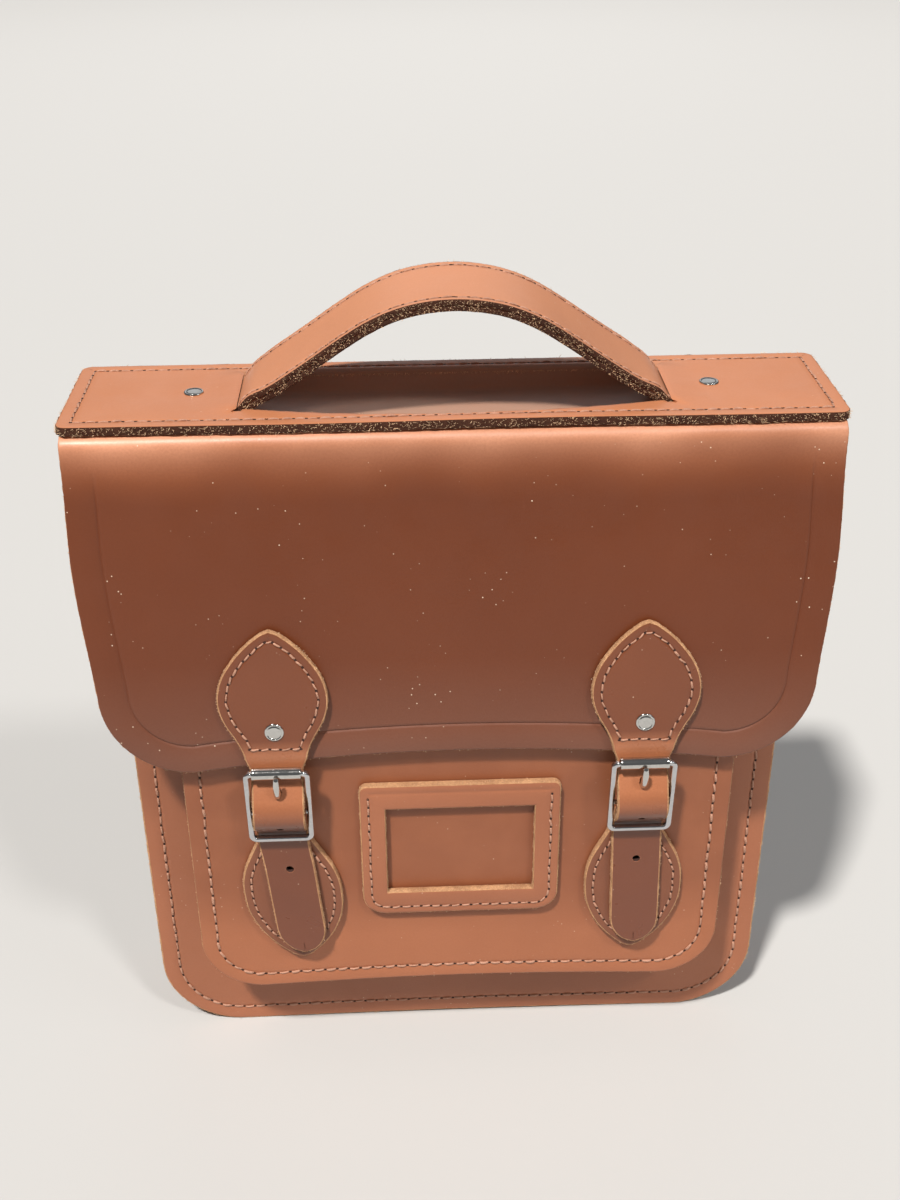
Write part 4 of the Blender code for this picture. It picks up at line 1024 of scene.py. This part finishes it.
def build_back():
    rng = np.random.default_rng(21)
    centre = (BACK_Y - LEATHER / 2 - FOLD_R, FOLD_Z)
    line = np.concatenate([
        fill(np.array([[BACK_Y, 0.0], [BACK_Y, FOLD_Z]]), 0.5)[:-1],
        arc(centre, FOLD_R + LEATHER / 2, 0, 90)[:-1],
        fill(np.array([[centre[0], ROOF], [MEET_Y, ROOF]]), 0.5),
    ])
    path = Path(line, -1.0)
    place = over_top(path)
    corner = arc((PANEL_HALF - PANEL_CORNER, PANEL_CORNER), PANEL_CORNER, 270, 360)
    half = len(corner) // 2
    end = path.s[-1]
    right = np.concatenate([
        corner[half:], [[PANEL_HALF, 245.0], [PANEL_HALF + 1.0, 251.0], [FLAP_HALF - 1.5, 260.5],
                        [FLAP_HALF, 264.0], [FLAP_HALF, end]],
    ])
    bottom = np.concatenate([(corner[: half + 1] * (-1, 1))[::-1], corner[: half + 1]])
    right, bottom = fill(right), fill(bottom)
    nb, nr = 96, 150
    right = resample(right, nr, 2.4)
    top = np.stack([np.linspace(FLAP_HALF, -FLAP_HALF, nb + 1), np.full(nb + 1, end)], 1)
    ring, counts = outline_of(resample(bottom, nb, 2.4), right, top, right[::-1] * (-1, 1))
    soup = Soup()
    plate(soup, ring, counts, place, LEATHER, [(7.0, 0.75, 0.3)], rng=rng, seed=2500.0, worn=True)
    bend = ("body", "top", (0, BACK_Y + 1, 269.0), (0, BACK_Y - 4, 272.0))
    settle(soup.make("back_leather", PANEL), bend=bend, nodes=["back_panel", "flap_top"])
    sew = Soup()
    for part in open_line(ring, 7.0, lambda a, b: b < 245):
        stitch(sew, part, place, rng, 4.75)
    sewn(sew, "back_stitches", "body")
    fuzz = Soup()
    for part in open_line(ring, 0.05, lambda a, b: b < end - 12):
        fibres(fuzz, part, place, rng, 2.0, closed=False)
    fuzzy(fuzz, "back_fibres", bend=bend)


def flap_face(z):
    return between(FLAP_Y, z)


def build_flap():
    rng = np.random.default_rng(22)
    centre = (-2.0 + LEATHER / 2 + FOLD_R, FOLD_Z)
    z = np.linspace(FOLD_Z, 150.0, 300)
    line = np.concatenate([
        fill(np.array([[MEET_Y, ROOF], [centre[0], ROOF]]), 0.5)[:-1],
        arc(centre, FOLD_R + LEATHER / 2, 90, 180)[:-1],
        np.stack([flap_face(z), z], 1),
    ])
    path = Path(line, -1.0)
    turn_s = float(np.interp(-(FOLD_Z - 0.01), -line[60:, 1], path.s[60:]))

    def level(z):
        """Outline height b, which falls along the path, for a height on the front."""
        return -np.interp(-np.asarray(z, float), -line[60:, 1], path.s[60:])

    def place(a, b, h):
        s = -b
        y, z = path.at(s, h)
        roof = smooth(ROOF - 3.5, ROOF - 0.5, z - h) * (s < turn_s)
        front = smooth(266, 235, z)
        flare = 1.6 * smooth(88, 128, np.abs(a)) * smooth(230, 165, z)
        return np.stack([a, y - flare * front, z - under(a, y) * roof], 1)

    zs = np.linspace(262.0, FLAP_LOW + FLAP_CORNER, 60)
    side = np.stack([FLAP_HALF - 6.0 * smooth(240, 165, zs), level(zs)], 1)
    edge = side[-1, 0]
    angles = np.radians(np.linspace(0, -90, 60))
    cx, cz = edge - FLAP_CORNER, FLAP_LOW + FLAP_CORNER
    corner = np.stack([cx + FLAP_CORNER * np.cos(angles), level(cz + FLAP_CORNER * np.sin(angles))], 1)
    xs = np.linspace(cx, -cx, 160)
    low = np.stack([xs, level(FLAP_LOW + FLAP_BOW * (1 - (xs / cx) ** 2))], 1)
    half = 30
    right = np.concatenate([[[FLAP_HALF, 0.0], [FLAP_HALF, level(270.0)]], side, corner[1 : half + 1]])[::-1]
    right_low = corner[half:]
    bottom = np.concatenate([(right_low * (-1, 1)), low[::-1][1:-1], right_low[::-1]])
    nb, nr = 120, 90
    right = resample(fill(right), nr, 2.2)
    top = np.stack([np.linspace(FLAP_HALF, -FLAP_HALF, nb + 1), np.zeros(nb + 1)], 1)
    ring, counts = outline_of(resample(fill(bottom), nb, 2.2), right, top, right[::-1] * (-1, 1))
    soup = Soup()
    plate(soup, ring, counts, place, LEATHER, [(10.8, 0.55, 0.5)], rng=rng, seed=0.0,
          mask=lambda a, b: smooth(float(level(266)), float(level(258)), b))
    bend = ("top", "flap", (0, 2.0, 272.0), (0, -3.0, 269.0))
    settle(soup.make("flap_leather", COVER), bend=bend, nodes=["flap_front"])
    fuzz = Soup()
    for part in open_line(ring, 0.05, lambda a, b: b < float(level(262))):
        fibres(fuzz, part, place, rng, 1.6, reach=(0.2, 0.7), closed=False)
    fuzzy(fuzz, "flap_fibres", bend=bend)


def build_band():
    rng = np.random.default_rng(23)
    r = BAND_CORNER
    quarter = np.radians(np.linspace(0, 45, 6))
    near = [SLOT_IN - 1.6, SLOT_IN - 0.7, SLOT_IN - 0.25, SLOT_IN, SLOT_IN + 2.7, SLOT_OUT, SLOT_OUT + 0.25,
            SLOT_OUT + 0.7, SLOT_OUT + 1.6]
    xs = list(np.arange(0, SLOT_IN - 2.5, 2.5)) + near + list(np.arange(SLOT_OUT + 3.0, BAND_HALF - r - 1, 2.5))
    xs = np.array(sorted(set([-x for x in xs] + xs)))
    ys = [5.0, 7.0, 8.5, 10.0, 11.2, 12.2, SLOT_Y0 - 0.25, SLOT_Y0, SLOT_Y0 + 0.8, 15.5, 17.5]
    ys += list(np.arange(20.0, 42.0, 2.5))
    ys += [43.5, 45.3, SLOT_Y1 - 0.8, SLOT_Y1, SLOT_Y1 + 0.25, 48.0, 49.2, 50.4, 51.8, 53.0]
    ys = np.array(ys)
    def turn(cx, cy, start):
        a = np.radians(start) + quarter
        return np.stack([cx + r * np.cos(a), cy + r * np.sin(a)], 1)
    w, d = BAND_HALF, BAND_DEPTH
    bottom = np.concatenate([turn(-w + r, r, 225), np.stack([xs, 0 * xs], 1), turn(w - r, r, 270)])
    right = np.concatenate([turn(w - r, r, 315), np.stack([0 * ys + w, ys], 1), turn(w - r, d - r, 0)])
    top = np.concatenate([turn(w - r, d - r, 45), np.stack([xs[::-1], 0 * xs + d], 1), turn(-w + r, d - r, 90)])
    left = np.concatenate([turn(-w + r, d - r, 135), np.stack([0 * ys - w, ys[::-1]], 1), turn(-w + r, r, 180)])
    ring, counts = outline_of(bottom, right, top, left)

    def near_slot(x, y):
        """Distance outside the nearest slot's outline."""
        dx = np.maximum(SLOT_IN - np.abs(x), np.abs(x) - SLOT_OUT)
        dy = np.maximum(SLOT_Y0 - y, y - SLOT_Y1)
        return np.maximum(dx, dy)

    def place(a, b, h):
        rim = 0.4 * (1 - smooth(-0.02, 0.9, near_slot(a, b))) * (h > -1.5)
        x = np.abs(a)
        bow = -(4.0 + 1.05 * h) * smooth(SLOT_OUT - 1.5, SLOT_OUT, x) * (1 - smooth(SLOT_OUT, SLOT_OUT + 8, x))
        bow = bow * smooth(SLOT_Y0 - 5, SLOT_Y0 + 1, b) * (1 - smooth(SLOT_Y1 - 1, SLOT_Y1 + 5, b))
        edge = 0.4 * np.sin(a * 0.05 + 0.4) * (1 - smooth(0, 12, b))
        tired = 0.35 * np.sin(a * 0.031 + 0.5) * (1 - smooth(0, 20, b))
        wrinkle = 0.16 * np.sin(a * 0.9 + b * 0.35) * smooth(SLOT_OUT, SLOT_OUT + 2, x)
        wrinkle = wrinkle * (1 - smooth(SLOT_OUT + 4, SLOT_OUT + 12, x))
        wrinkle = wrinkle * smooth(6, 12, b) * (1 - smooth(18, 30, b))
        z = BAND_TOP + h - dip(a, b) + swell(a, b) - rim + tired * 0.6 + wrinkle
        return np.stack([a + np.sign(a) * bow, b + edge * 0.5, z], 1)

    soup = Soup()
    slots = [(x0, x1, SLOT_Y0, SLOT_Y1) for x0, x1 in ((-SLOT_OUT, -SLOT_IN), (SLOT_IN, SLOT_OUT))]
    plate(soup, ring, counts, place, BAND_THICK, [(5.0, 0.5, 0.3)], rng=rng, rough=0.16, holes=slots,
          seed=BAND_SEED)
    settle(soup.make("band_leather", BAND, sharp=50), "top", nodes=["top_band"])
    sew, fuzz = Soup(), Soup()
    line = inset(ring, 5.0)
    step = np.linalg.norm(np.roll(line, -1, 0) - line, axis=1)
    line = line[step > 1e-5]
    stitch(sew, np.concatenate([line, line[:1]]), place, rng, 4.4, 0.36)
    sewn(sew, "band_stitches", "top")
    fibres(fuzz, ring, place, rng, 4.0, reach=(0.3, 1.1), levels=(-3.2, -0.2))
    side = np.array([[SLOT_OUT - 0.1, y] for y in np.linspace(SLOT_Y0, SLOT_Y1, 30)])
    for s in (-1, 1):
        fibres(fuzz, side * (s, 1), place, rng, 5.0, reach=(0.3, 0.9), closed=False, out=-s)
    x = np.linspace(-SLOT_IN, SLOT_IN, 120)
    fibres(fuzz, np.stack([x, front_edge(x) + 1.2], 1), place, rng, 3.0, reach=(0.2, 0.8), levels=(-0.1, 0.0),
           closed=False, out=-1)
    fibres(fuzz, np.stack([x, 0 * x + 49.0], 1), place, rng, 3.0, reach=(0.2, 0.8), levels=(-0.1, 0.0),
           closed=False)
    fuzzy(fuzz, "band_fibres", "top")


# ---------------------------------------------------------------- handle


def lean_in(x, z, w, back):
    """Point of the handle, leaned forwards about its foot; back = 1 where it has come upright again."""
    up = z - BAND_TOP
    y = HANDLE_Y + w * math.cos(HANDLE_LEAN) - up * math.sin(HANDLE_LEAN)
    high = BAND_TOP + w * math.sin(HANDLE_LEAN) + up * math.cos(HANDLE_LEAN)
    return np.stack([x, y * (1 - back) + (HANDLE_Y + w) * back, high * (1 - back) + z * back], 1)


def handle_layers():
    """The handle's layers, one at a time, as the random draws of the stitches come between them."""
    for side, s in (("left", -1.0), ("right", 1.0)):
        rng = np.random.default_rng(31 if s < 0 else 32)
        points = [(x, BAND_TOP + r) for x, r in HANDLE_RISE if x > 0]
        middle = [(0.0, BAND_TOP + HANDLE_RISE[0][1])]
        points = [(-x, z) for x, z in points[:3][::-1]] + middle + points + list(HANDLE_FOOT)
        line = spline(points, 0.3)
        line = line[line[:, 0] > -8.0]
        start = int(np.argmin(np.abs(line[:, 0])))
        line[start, 0] = 0.0
        path = Path(line, 1.0)
        zero = path.s[start]

        def place(a, b, h, path=path, zero=zero, s=s):
            """a along the handle from its middle, b across it, towards the back."""
            x, z = path.at(a * s + zero, h)
            w = b * (1 - 0.02 * smooth(60, 76, x))
            cup = 0.5 * (b / 15.5) ** 2 * (1 - smooth(60, 75, x))
            return lean_in(s * x, z + cup * 0.6, w, smooth(61.0, 78.0, x))

        end = path.s[-1] - zero
        half = HANDLE_WIDTH / 2
        for name, depth, stop in (("outer", 0.0, end), ("lining", HANDLE_LAYER + 0.12, end - 27.0)):
            xs = fill(np.array([[0.0, -half], [stop, -half]]), 0.5)
            count = max(30, int(stop / 1.4))
            low = resample(xs, count, 1.4)
            soup = Soup()
            layer(soup, low[:, 0], s, place, depth, rng)
            yield side, s, name, soup, place, end, rng


def layer(soup, lengthwise, sign, place, depth, rng):
    """One layer of the handle: a ribbon with round edges and a stitch groove along both, open at the middle."""
    half = HANDLE_WIDTH / 2
    t = HANDLE_LAYER
    across = [(half - 2.2, -t, FLESH), (half - 0.5, -t, FLESH), (half - 0.12, -t + 0.14, EDGE)]
    across += [(half, -t + 0.4, EDGE), (half, -t / 2, EDGE)]
    across += [(half - 0.03, -0.5, EDGE), (half - 0.16, -0.2, EDGE)]
    across += [(half - 0.5, -0.05, GRAIN), (half - 1.1, 0.0, GRAIN)]
    across += [(half - a, h, GRAIN) for a, h in groove_rows(2.7, 0.5, 0.28)]
    inner = [(b, 0.0, GRAIN) for b in np.linspace(half - 5.2, -half + 5.2, 9)]
    left = [(-b, h, m) for b, h, m in across[::-1]]
    along = np.sort(lengthwise)
    # materials name the strip that leads to the next point round the section
    section = across + inner + [(b, h, GRAIN) for b, h, m in left]
    names = [m for _, _, m in across] + [GRAIN] * len(inner)
    names += [left[min(k + 1, len(left) - 1)][2] for k in range(len(left))]
    names[-1] = FLESH
    b = np.array([p[0] for p in section])
    h = np.array([p[1] for p in section])
    rows = []
    flats = []
    for k, x in enumerate(along):
        jog = 0.0
        if 0 < k < len(along) - 1:
            jog = np.where((h < -0.1) & (h > -t + 0.1), rng.normal(0, 0.1, len(h)), 0.0)
        bb = b + np.sign(b) * jog
        rows.append(place(np.full(len(b), sign * x), bb, h - depth))
        flats.append(np.stack([np.full(len(b), sign * x) + 5000.0, bb + depth * 20, h], 1))
    count = len(b)
    faces = grid_faces(len(rows), count, wrap=True)
    slots = np.tile(names, len(rows) - 1)
    soup.add(np.concatenate(rows), faces, slots, np.concatenate(flats))


def build_handle():
    """Both halves of the handle: outer layer, lining, stitches and fibres."""
    for side, s, name, soup, place, end, rng in handle_layers():
        bend = ("handle", "top", (s * 62.0, HANDLE_Y, BAND_TOP), (s * 80.0, HANDLE_Y, BAND_TOP))
        obj = soup.make(f"handle_{name}_{side}", HANDLE)
        nodes = ["handle_end_" + side]
        if name == "outer":
            nodes.append({"left": "handle_outer", "right": "handle_lining"}[side])
        settle(obj, bend=bend, nodes=nodes)
        if name == "outer":
            sew = Soup()
            for b in (-HANDLE_WIDTH / 2 + 2.7, HANDLE_WIDTH / 2 - 2.7):
                stitch(sew, np.array([[s * 0.4, b], [s * (end - 27), b]]), place, rng, 4.3, 0.36)
            sewn(sew, "handle_stitches_" + side, bend=bend)
            fuzz = Soup()
            for b in (-HANDLE_WIDTH / 2, HANDLE_WIDTH / 2):
                edge = np.array([[s * x, b] for x in np.linspace(0, end - 26, 60)])
                fibres(fuzz, edge, place, rng, 7.0, reach=(0.25, 0.8), levels=(-4.2, -0.1), closed=False,
                       out=s * (1 if b < 0 else -1))
            fuzzy(fuzz, "handle_fibres_" + side, bend=bend)


# ---------------------------------------------------------------- straps, pads and buckles


def strap_path():
    z = np.linspace(HEAD_TOP, HEAD_LOW + 0.6, 110)
    head = np.stack([flap_face(z) - GAP - LEATHER / 2 - 0.15, z], 1)
    points = np.concatenate([head[::6], [[-22.3, HEAD_LOW - 0.1]], np.array(TAIL[1:])])
    return Path(spline(points, 0.25), -1.0)


def build_straps():
    path = strap_path()
    z = np.linspace(HEAD_TOP, 63.4, 700)
    half = np.where(z >= HEAD_LOW, between(HEAD, z), STRAP_HALF + 2.0 * smooth(HEAD_LOW - 7.5, HEAD_LOW, z))
    half = np.where(z < 76.0, between(TIP, z), half)
    levels = -path.length_at(1, z)
    thick = 2.6
    for side, s in (("left", -1.0), ("right", 1.0)):
        rng = np.random.default_rng(41 if s < 0 else 42)
        ring, counts = leaf_sides(levels[::-1], half[::-1], 0.85, across=22)
        tilt = math.radians(5.0 if s < 0 else 1.5)

        def place(a, b, h, s=s, tilt=tilt):
            y, z = path.at(-b, h + thick / 2)
            swing = np.clip(126.0 - z, 0, None)
            drift = swing * math.tan(tilt) * smooth(0, 20, swing)
            return np.stack([STRAP_X * s + a + drift, y, z], 1)

        def band_of(a, b, low, high):
            z = path.at(-b, 0)[1]
            return (z > low) & (z < high)

        soup = Soup()
        plate(soup, ring, counts, place, thick, [(3.5, 0.55, 0.28)], rng=rng, rough=0.07, seed=4200.0 + 60 * s,
              worn=True, mask=lambda a, b: (band_of(a, b, HEAD_LOW + 0.5, 260.0)).astype(float))
        bend = ("flap", "strap_" + side, (0, -22, HEAD_LOW + 1.5), (0, -22, HEAD_LOW - 3.0))
        strap = soup.make("strap_leather_" + side, LEAVES + [HOLE_SHADE])
        for level, radius, tall in ((131.6, 1.3, 0.9), (106.0, 1.45, 1.0), (145.6, 1.35, 1.5)):
            punch(strap, place, -float(path.length_at(1, level)), radius, tall)
        settle(strap, bend=bend, nodes=["strap_head_" + side, "strap_tail_" + side])
        sew, fuzz = Soup(), Soup()
        for line in open_line(ring, 3.5, lambda a, b: band_of(a, b, HEAD_SEAM + 0.2, 260.0)):
            stitch(sew, line, place, rng, 3.5, 0.34, 0.22)
        foot = -path.length_at(1, HEAD_SEAM)
        cross = between(HEAD, HEAD_SEAM) - 3.1
        stitch(sew, np.array([[-cross, foot], [cross, foot]]), place, rng, 3.5, 0.34, 0.05)
        sewn(sew, "strap_stitches_" + side, "flap")
        fibres(fuzz, ring, place, rng, 2.6, reach=(0.15, 0.5), levels=(-2.3, -0.1))
        fuzzy(fuzz, "strap_fibres_" + side, bend=bend)

        build_pad(side, s, rng)
        build_buckle(side, s)
        build_rivet(side, s)


def punch(strap, place, b, radius, tall):
    """A hole punched through the strap, its walls painted dark as shade."""
    turn = np.linspace(0, 2 * np.pi, 25)[:-1]
    cutter = Soup()
    rows = [place(radius * np.cos(turn), b + radius * tall * np.sin(turn), np.full(24, h)) for h in (0.6, -3.4)]
    swept(cutter, rows, 3)
    tool = cutter.make("punch", LEAVES + [HOLE_SHADE])
    cut = strap.modifiers.new("punch", "BOOLEAN")
    cut.operation, cut.solver, cut.object = "DIFFERENCE", "EXACT", tool
    mesh = bpy.data.meshes.new_from_object(strap.evaluated_get(bpy.context.evaluated_depsgraph_get()))
    strap.modifiers.clear()
    strap.data = mesh
    bpy.data.objects.remove(tool)


def build_pad(side, s, rng):
    z = np.linspace(58.5, 127.0, 300)
    ring, counts = leaf_sides(z, between(PAD, z), 0.9, across=20)
    outer = POCKET_Y - GAP - LEATHER / 2 - 1.35
    tilt = math.radians(4.0 if s < 0 else 1.0)

    def place(a, b, h):
        drift = np.clip(120.0 - b, 0, None) * math.tan(tilt)
        return np.stack([STRAP_X * s + a + drift, outer - h, b], 1)

    thick = 2.7
    soup = Soup()
    plate(soup, ring, counts, place, thick, [(3.3, 0.55, 0.28)], rng=rng, rough=0.07, seed=4800.0 + 60 * s,
          worn=True)
    cy, cz = CENTRE_BAR
    middle = POCKET_Y - GAP - LEATHER / 2
    points = [(middle, 122.0), (middle, 124.2), (-17.3, 126.4), (-18.7, 128.9), (-20.6, 131.2), (-22.3, 133.3)]
    for degrees in range(-28, 250, 14):
        a = math.radians(degrees)
        points.append((cy + 1.95 * math.cos(a), cz + 1.95 * math.sin(a)))
    loop = spline(points, 0.3)
    p = Path(loop)
    thicks = np.interp(p.s, [0, 4, 10, 14], [2.4, 2.2, 1.6, 1.4])
    widths = np.interp(p.s, [0, 8], [15.9, 15.6])
    rows = []
    for k in range(0, len(p.s), 2):
        ring_ = []
        for u, v in ((-1, -0.6), (-0.97, -1), (-0.5, -1), (0, -1), (0.5, -1), (0.97, -1), (1, -0.6), (1, 0.6),
                     (0.97, 1), (0.5, 1), (0, 1), (-0.5, 1), (-0.97, 1), (-1, 0.6)):
            y, zz = p.at(p.s[k], v * thicks[k] / 2)
            ring_.append((STRAP_X * s + u * widths[k] / 2, float(y), float(zz)))
        rows.append(ring_)
    swept(soup, rows, GRAIN)
    settle(soup.make("chape_leather_" + side, PADS), "body", nodes=["chape_pad_" + side])
    sew, fuzz = Soup(), Soup()
    for line in open_line(ring, 3.3, lambda a, b: b < 119):
        stitch(sew, line, place, rng, 3.5, 0.34, 0.22)
    sewn(sew, "chape_stitches_" + side, "body")
    low = open_line(ring, 0.05, lambda a, b: b < 122)[0]
    fibres(fuzz, low, place, rng, 2.6, reach=(0.15, 0.5), levels=(-2.3, -0.1), closed=False)
    fuzzy(fuzz, "chape_fibres_" + side, "body")


def build_buckle(side, s):
    x0 = STRAP_X * s
    low, top = np.array(BOTTOM_BAR), np.array(TOP_BAR)
    along = (top - low) / np.linalg.norm(top - low)
    normal = np.array([-along[1], along[0]])
    size = np.linalg.norm(top - low)
    w = BUCKLE_HALF
    loop = np.concatenate([
        arc((-w + 2.1, 2.1), 2.1, 180, 270), arc((w - 2.1, 2.1), 2.1, 270, 360),
        arc((w - 1.9, size - 1.9), 1.9, 0, 90), arc((-w + 1.9, size - 1.9), 1.9, 90, 180),
    ])
    loop = resample(fill(np.concatenate([loop, loop[:1]]), 0.5), spacing=0.9, turn=0.12)[:-1]
    t = np.roll(loop, -1, 0) - np.roll(loop, 1, 0)
    t /= np.linalg.norm(t, axis=1)[:, None]
    out = np.stack([t[:, 1], -t[:, 0]], 1)
    ang = np.linspace(0, 2 * np.pi, 21)[:-1]
    c, d = np.cos(ang), np.sin(ang)
    power = 0.72
    across = 0.85 * BAR_R * np.sign(c) * np.abs(c) ** power
    deep = BAR_R * 0.95 * np.sign(d) * np.abs(d) ** power
    rows = []
    for (u, v), n in zip(loop, out):
        p = low + along * (v + n[1] * across)[:, None] + normal * deep[:, None]
        rows.append(np.stack([x0 + u + n[0] * across, p[:, 0], p[:, 1]], 1))
    soup = Soup()
    swept(soup, rows, 0, closed=True)
    lathe(soup, [(CENTRE_R, -w + 0.6), (CENTRE_R, w - 0.6)], (x0, *CENTRE_BAR), (1, 0, 0), 0, 28)
    buckle = soup.make("buckle_" + side, [CHROME], sharp=60, merge=False)
    settle(buckle, "buckle_" + side, nodes=["buckle_frame_" + side])

    soup = Soup()
    r, k = ROLLER_R, ROLLER_HALF
    inner = BAR_R + 0.35
    profile = [(inner, -k + 0.1), (r - 0.45, -k), (r - 0.12, -k + 0.12), (r, -k + 0.45), (r, -k + 1.2), (r, 0),
               (r, k - 1.2), (r, k - 0.45), (r - 0.12, k - 0.12), (r - 0.45, k), (inner, k - 0.1), (inner, -k + 0.1)]
    lathe(soup, profile, (x0, *TOP_BAR), (1, 0, 0), 0, 44)
    roller = soup.make("roller_" + side, [NICKEL], sharp=40)
    settle(roller, "roller_" + side, nodes=["buckle_roller_" + side])

    soup = Soup()
    eye = CENTRE_R + 0.3
    lathe(soup, [(eye, -1.1), (1.9, -1.15), (2.15, -0.9), (2.15, 0.9), (1.9, 1.15), (eye, 1.1), (eye, -1.1)],
          (x0, *CENTRE_BAR), (1, 0, 0), 0, 36)
    p = Path(spline(list(PRONG), 0.4))
    rows = []
    radii = np.interp(p.s / p.s[-1], [0, 0.3, 0.55, 0.8, 0.95, 1.0], [1.0, 1.05, 1.3, 1.2, 0.9, 0.4])
    for sk, r in zip(p.s, radii):
        y, z = p.at(np.full(20, sk), r * np.sin(ang))
        rows.append(np.stack([x0 + 1.1 * r * np.cos(ang), y, z], 1))
    swept(soup, rows, 0)
    prong = soup.make("prong_" + side, [NICKEL], sharp=60, merge=False)
    settle(prong, "prong_" + side, nodes=["buckle_prong_" + side])


def cap_profile(base, lift):
    """Rivet cap from the leather up: a rounded rim, a groove and a nearly flat middle."""
    r = RIVET_R
    points = [(1.4, base), (r - 0.15, lift), (r, lift + 0.16), (r - 0.06, lift + 0.4), (r - 0.25, lift + 0.56),
              (r - 0.5, lift + 0.6), (r - 0.75, lift + 0.52), (r - 0.9, lift + 0.38)]
    for t in np.radians([8, 22, 40, 58, 74, 89.9]):
        points.append(((r - 0.98) * math.cos(t), lift + 0.38 + 0.3 * math.sin(t)))
    return points


def build_rivet(side, s):
    z = HEAD_RIVET_Z
    y = float(flap_face(z))
    slope = float(flap_face(z + 2) - flap_face(z - 2)) / 4
    out = Vector((0, -1, slope)).normalized()
    soup = Soup()
    cap = GAP + LEATHER - 0.1
    lathe(soup, cap_profile(-1.0, cap), (s * STRAP_X, y, z), out, 0, 48)
    back = -LEATHER - 0.1
    inner_end = [(1.4, 0), (3.0, back), (3.1, back - 0.3), (2.6, back - 0.75), (0.01, back - 0.85)]
    lathe(soup, inner_end, (s * STRAP_X, y, z), out, 0, 40)
    rivet = soup.make("head_rivet_" + side, [NICKEL], sharp=50)
    settle(rivet, "flap", nodes=["strap_rivet_" + side])
    soup = Soup()
    x = s * BAND_RIVET_X
    lift = BAND_TOP + float(swell(x, HANDLE_Y)) - 0.02
    lathe(soup, cap_profile(BAND_TOP - 2.0, lift), (x, HANDLE_Y, 0.0), (0, 0, 1), 0, 48)
    foot = ROOF - LEATHER - RECESS - 0.1
    inner_end = [(1.4, foot + 3), (3.1, foot), (3.2, foot - 0.3), (2.6, foot - 0.8), (0.01, foot - 0.9)]
    lathe(soup, inner_end, (x, HANDLE_Y, 0.0), (0, 0, 1), 0, 40)
    rivet = soup.make("band_rivet_cap_" + side, [NICKEL], sharp=50)
    settle(rivet, "top", nodes=["band_rivet_" + side])


# ---------------------------------------------------------------- the bag


build_body()
build_pocket()
build_back()
build_flap()
build_band()
build_handle()
build_straps()

# ---------------------------------------------------------------- floor, light and camera


def floor():
    mesh = bpy.data.meshes.new("floor")
    mesh.from_pydata([(-6, -4, 0), (6, -4, 0), (6, 8, 0), (-6, 8, 0)], [], [(0, 1, 2, 3)])
    n = Nodes("pale floor")
    n.plug("Base Color", (0.5, 0.495, 0.485))
    n.plug("Roughness", 0.8)
    mesh.materials.append(n.mat)
    obj = bpy.data.objects.new("floor", mesh)
    bpy.context.scene.collection.objects.link(obj)


def area(name, place, size, power, colour=(1, 1, 1), target=(0.0, 0.0, 0.15)):
    light = bpy.data.lights.new(name, "AREA")
    light.shape = "DISK"
    light.size = size
    light.energy = power
    light.color = colour
    obj = bpy.data.objects.new(name, light)
    obj.location = place
    obj.rotation_euler = (Vector(target) - Vector(place)).to_track_quat("-Z", "Y").to_euler()
    obj.visible_camera = False
    bpy.context.scene.collection.objects.link(obj)


def sun(name, towards, strength, angle, colour):
    """Parallel light from the direction given, the same strength everywhere."""
    light = bpy.data.lights.new(name, "SUN")
    light.energy = strength
    light.angle = math.radians(angle)
    light.color = colour
    obj = bpy.data.objects.new(name, light)
    obj.rotation_euler = Vector(towards).to_track_quat("Z", "Y").to_euler()
    bpy.context.scene.collection.objects.link(obj)


def camera():
    yaw, pitch, roll = math.radians(-2.158), math.radians(29.77), math.radians(-0.386)
    right = Vector((math.cos(yaw), math.sin(yaw), 0))
    up = Vector((-math.sin(yaw) * math.sin(pitch), math.cos(yaw) * math.sin(pitch), math.cos(pitch)))
    ahead = Vector((-math.sin(yaw) * math.cos(pitch), math.cos(yaw) * math.cos(pitch), -math.sin(pitch)))
    u = math.cos(roll) * right + math.sin(roll) * up
    v = -math.sin(roll) * right + math.cos(roll) * up
    data = bpy.data.cameras.new("camera")
    data.lens, data.sensor_width = 43.94, 36.0
    obj = bpy.data.objects.new("camera", data)
    obj.matrix_world = Matrix((
        (u.x, v.x, -ahead.x, -0.0199), (u.y, v.y, -ahead.y, -0.4721), (u.z, v.z, -ahead.z, 0.4723), (0, 0, 0, 1),
    ))
    bpy.context.scene.collection.objects.link(obj)
    bpy.context.scene.camera = obj


floor()
sun("key", (-3.3, -6.0, 11.0), 4.3, 4.5, (1.0, 0.965, 0.92))
sun("second", (4.2, -6.0, 9.0), 0.9, 7.0, (1.0, 0.98, 0.95))
area("back", (0.1, 2.6, 1.7), 2.6, 9.0, (0.97, 0.98, 1.0))
area("fill", (1.7, -1.0, 1.6), 1.0, 5.5, (0.94, 0.97, 1.0))
world = bpy.data.worlds.new("studio")
world.use_nodes = True
world.node_tree.nodes["Background"].inputs["Color"].default_value = (0.93, 0.96, 1.0, 1.0)
world.node_tree.nodes["Background"].inputs["Strength"].default_value = 0.14
bpy.context.scene.world = world
camera()
bpy.context.scene.view_settings.view_transform = "Standard"
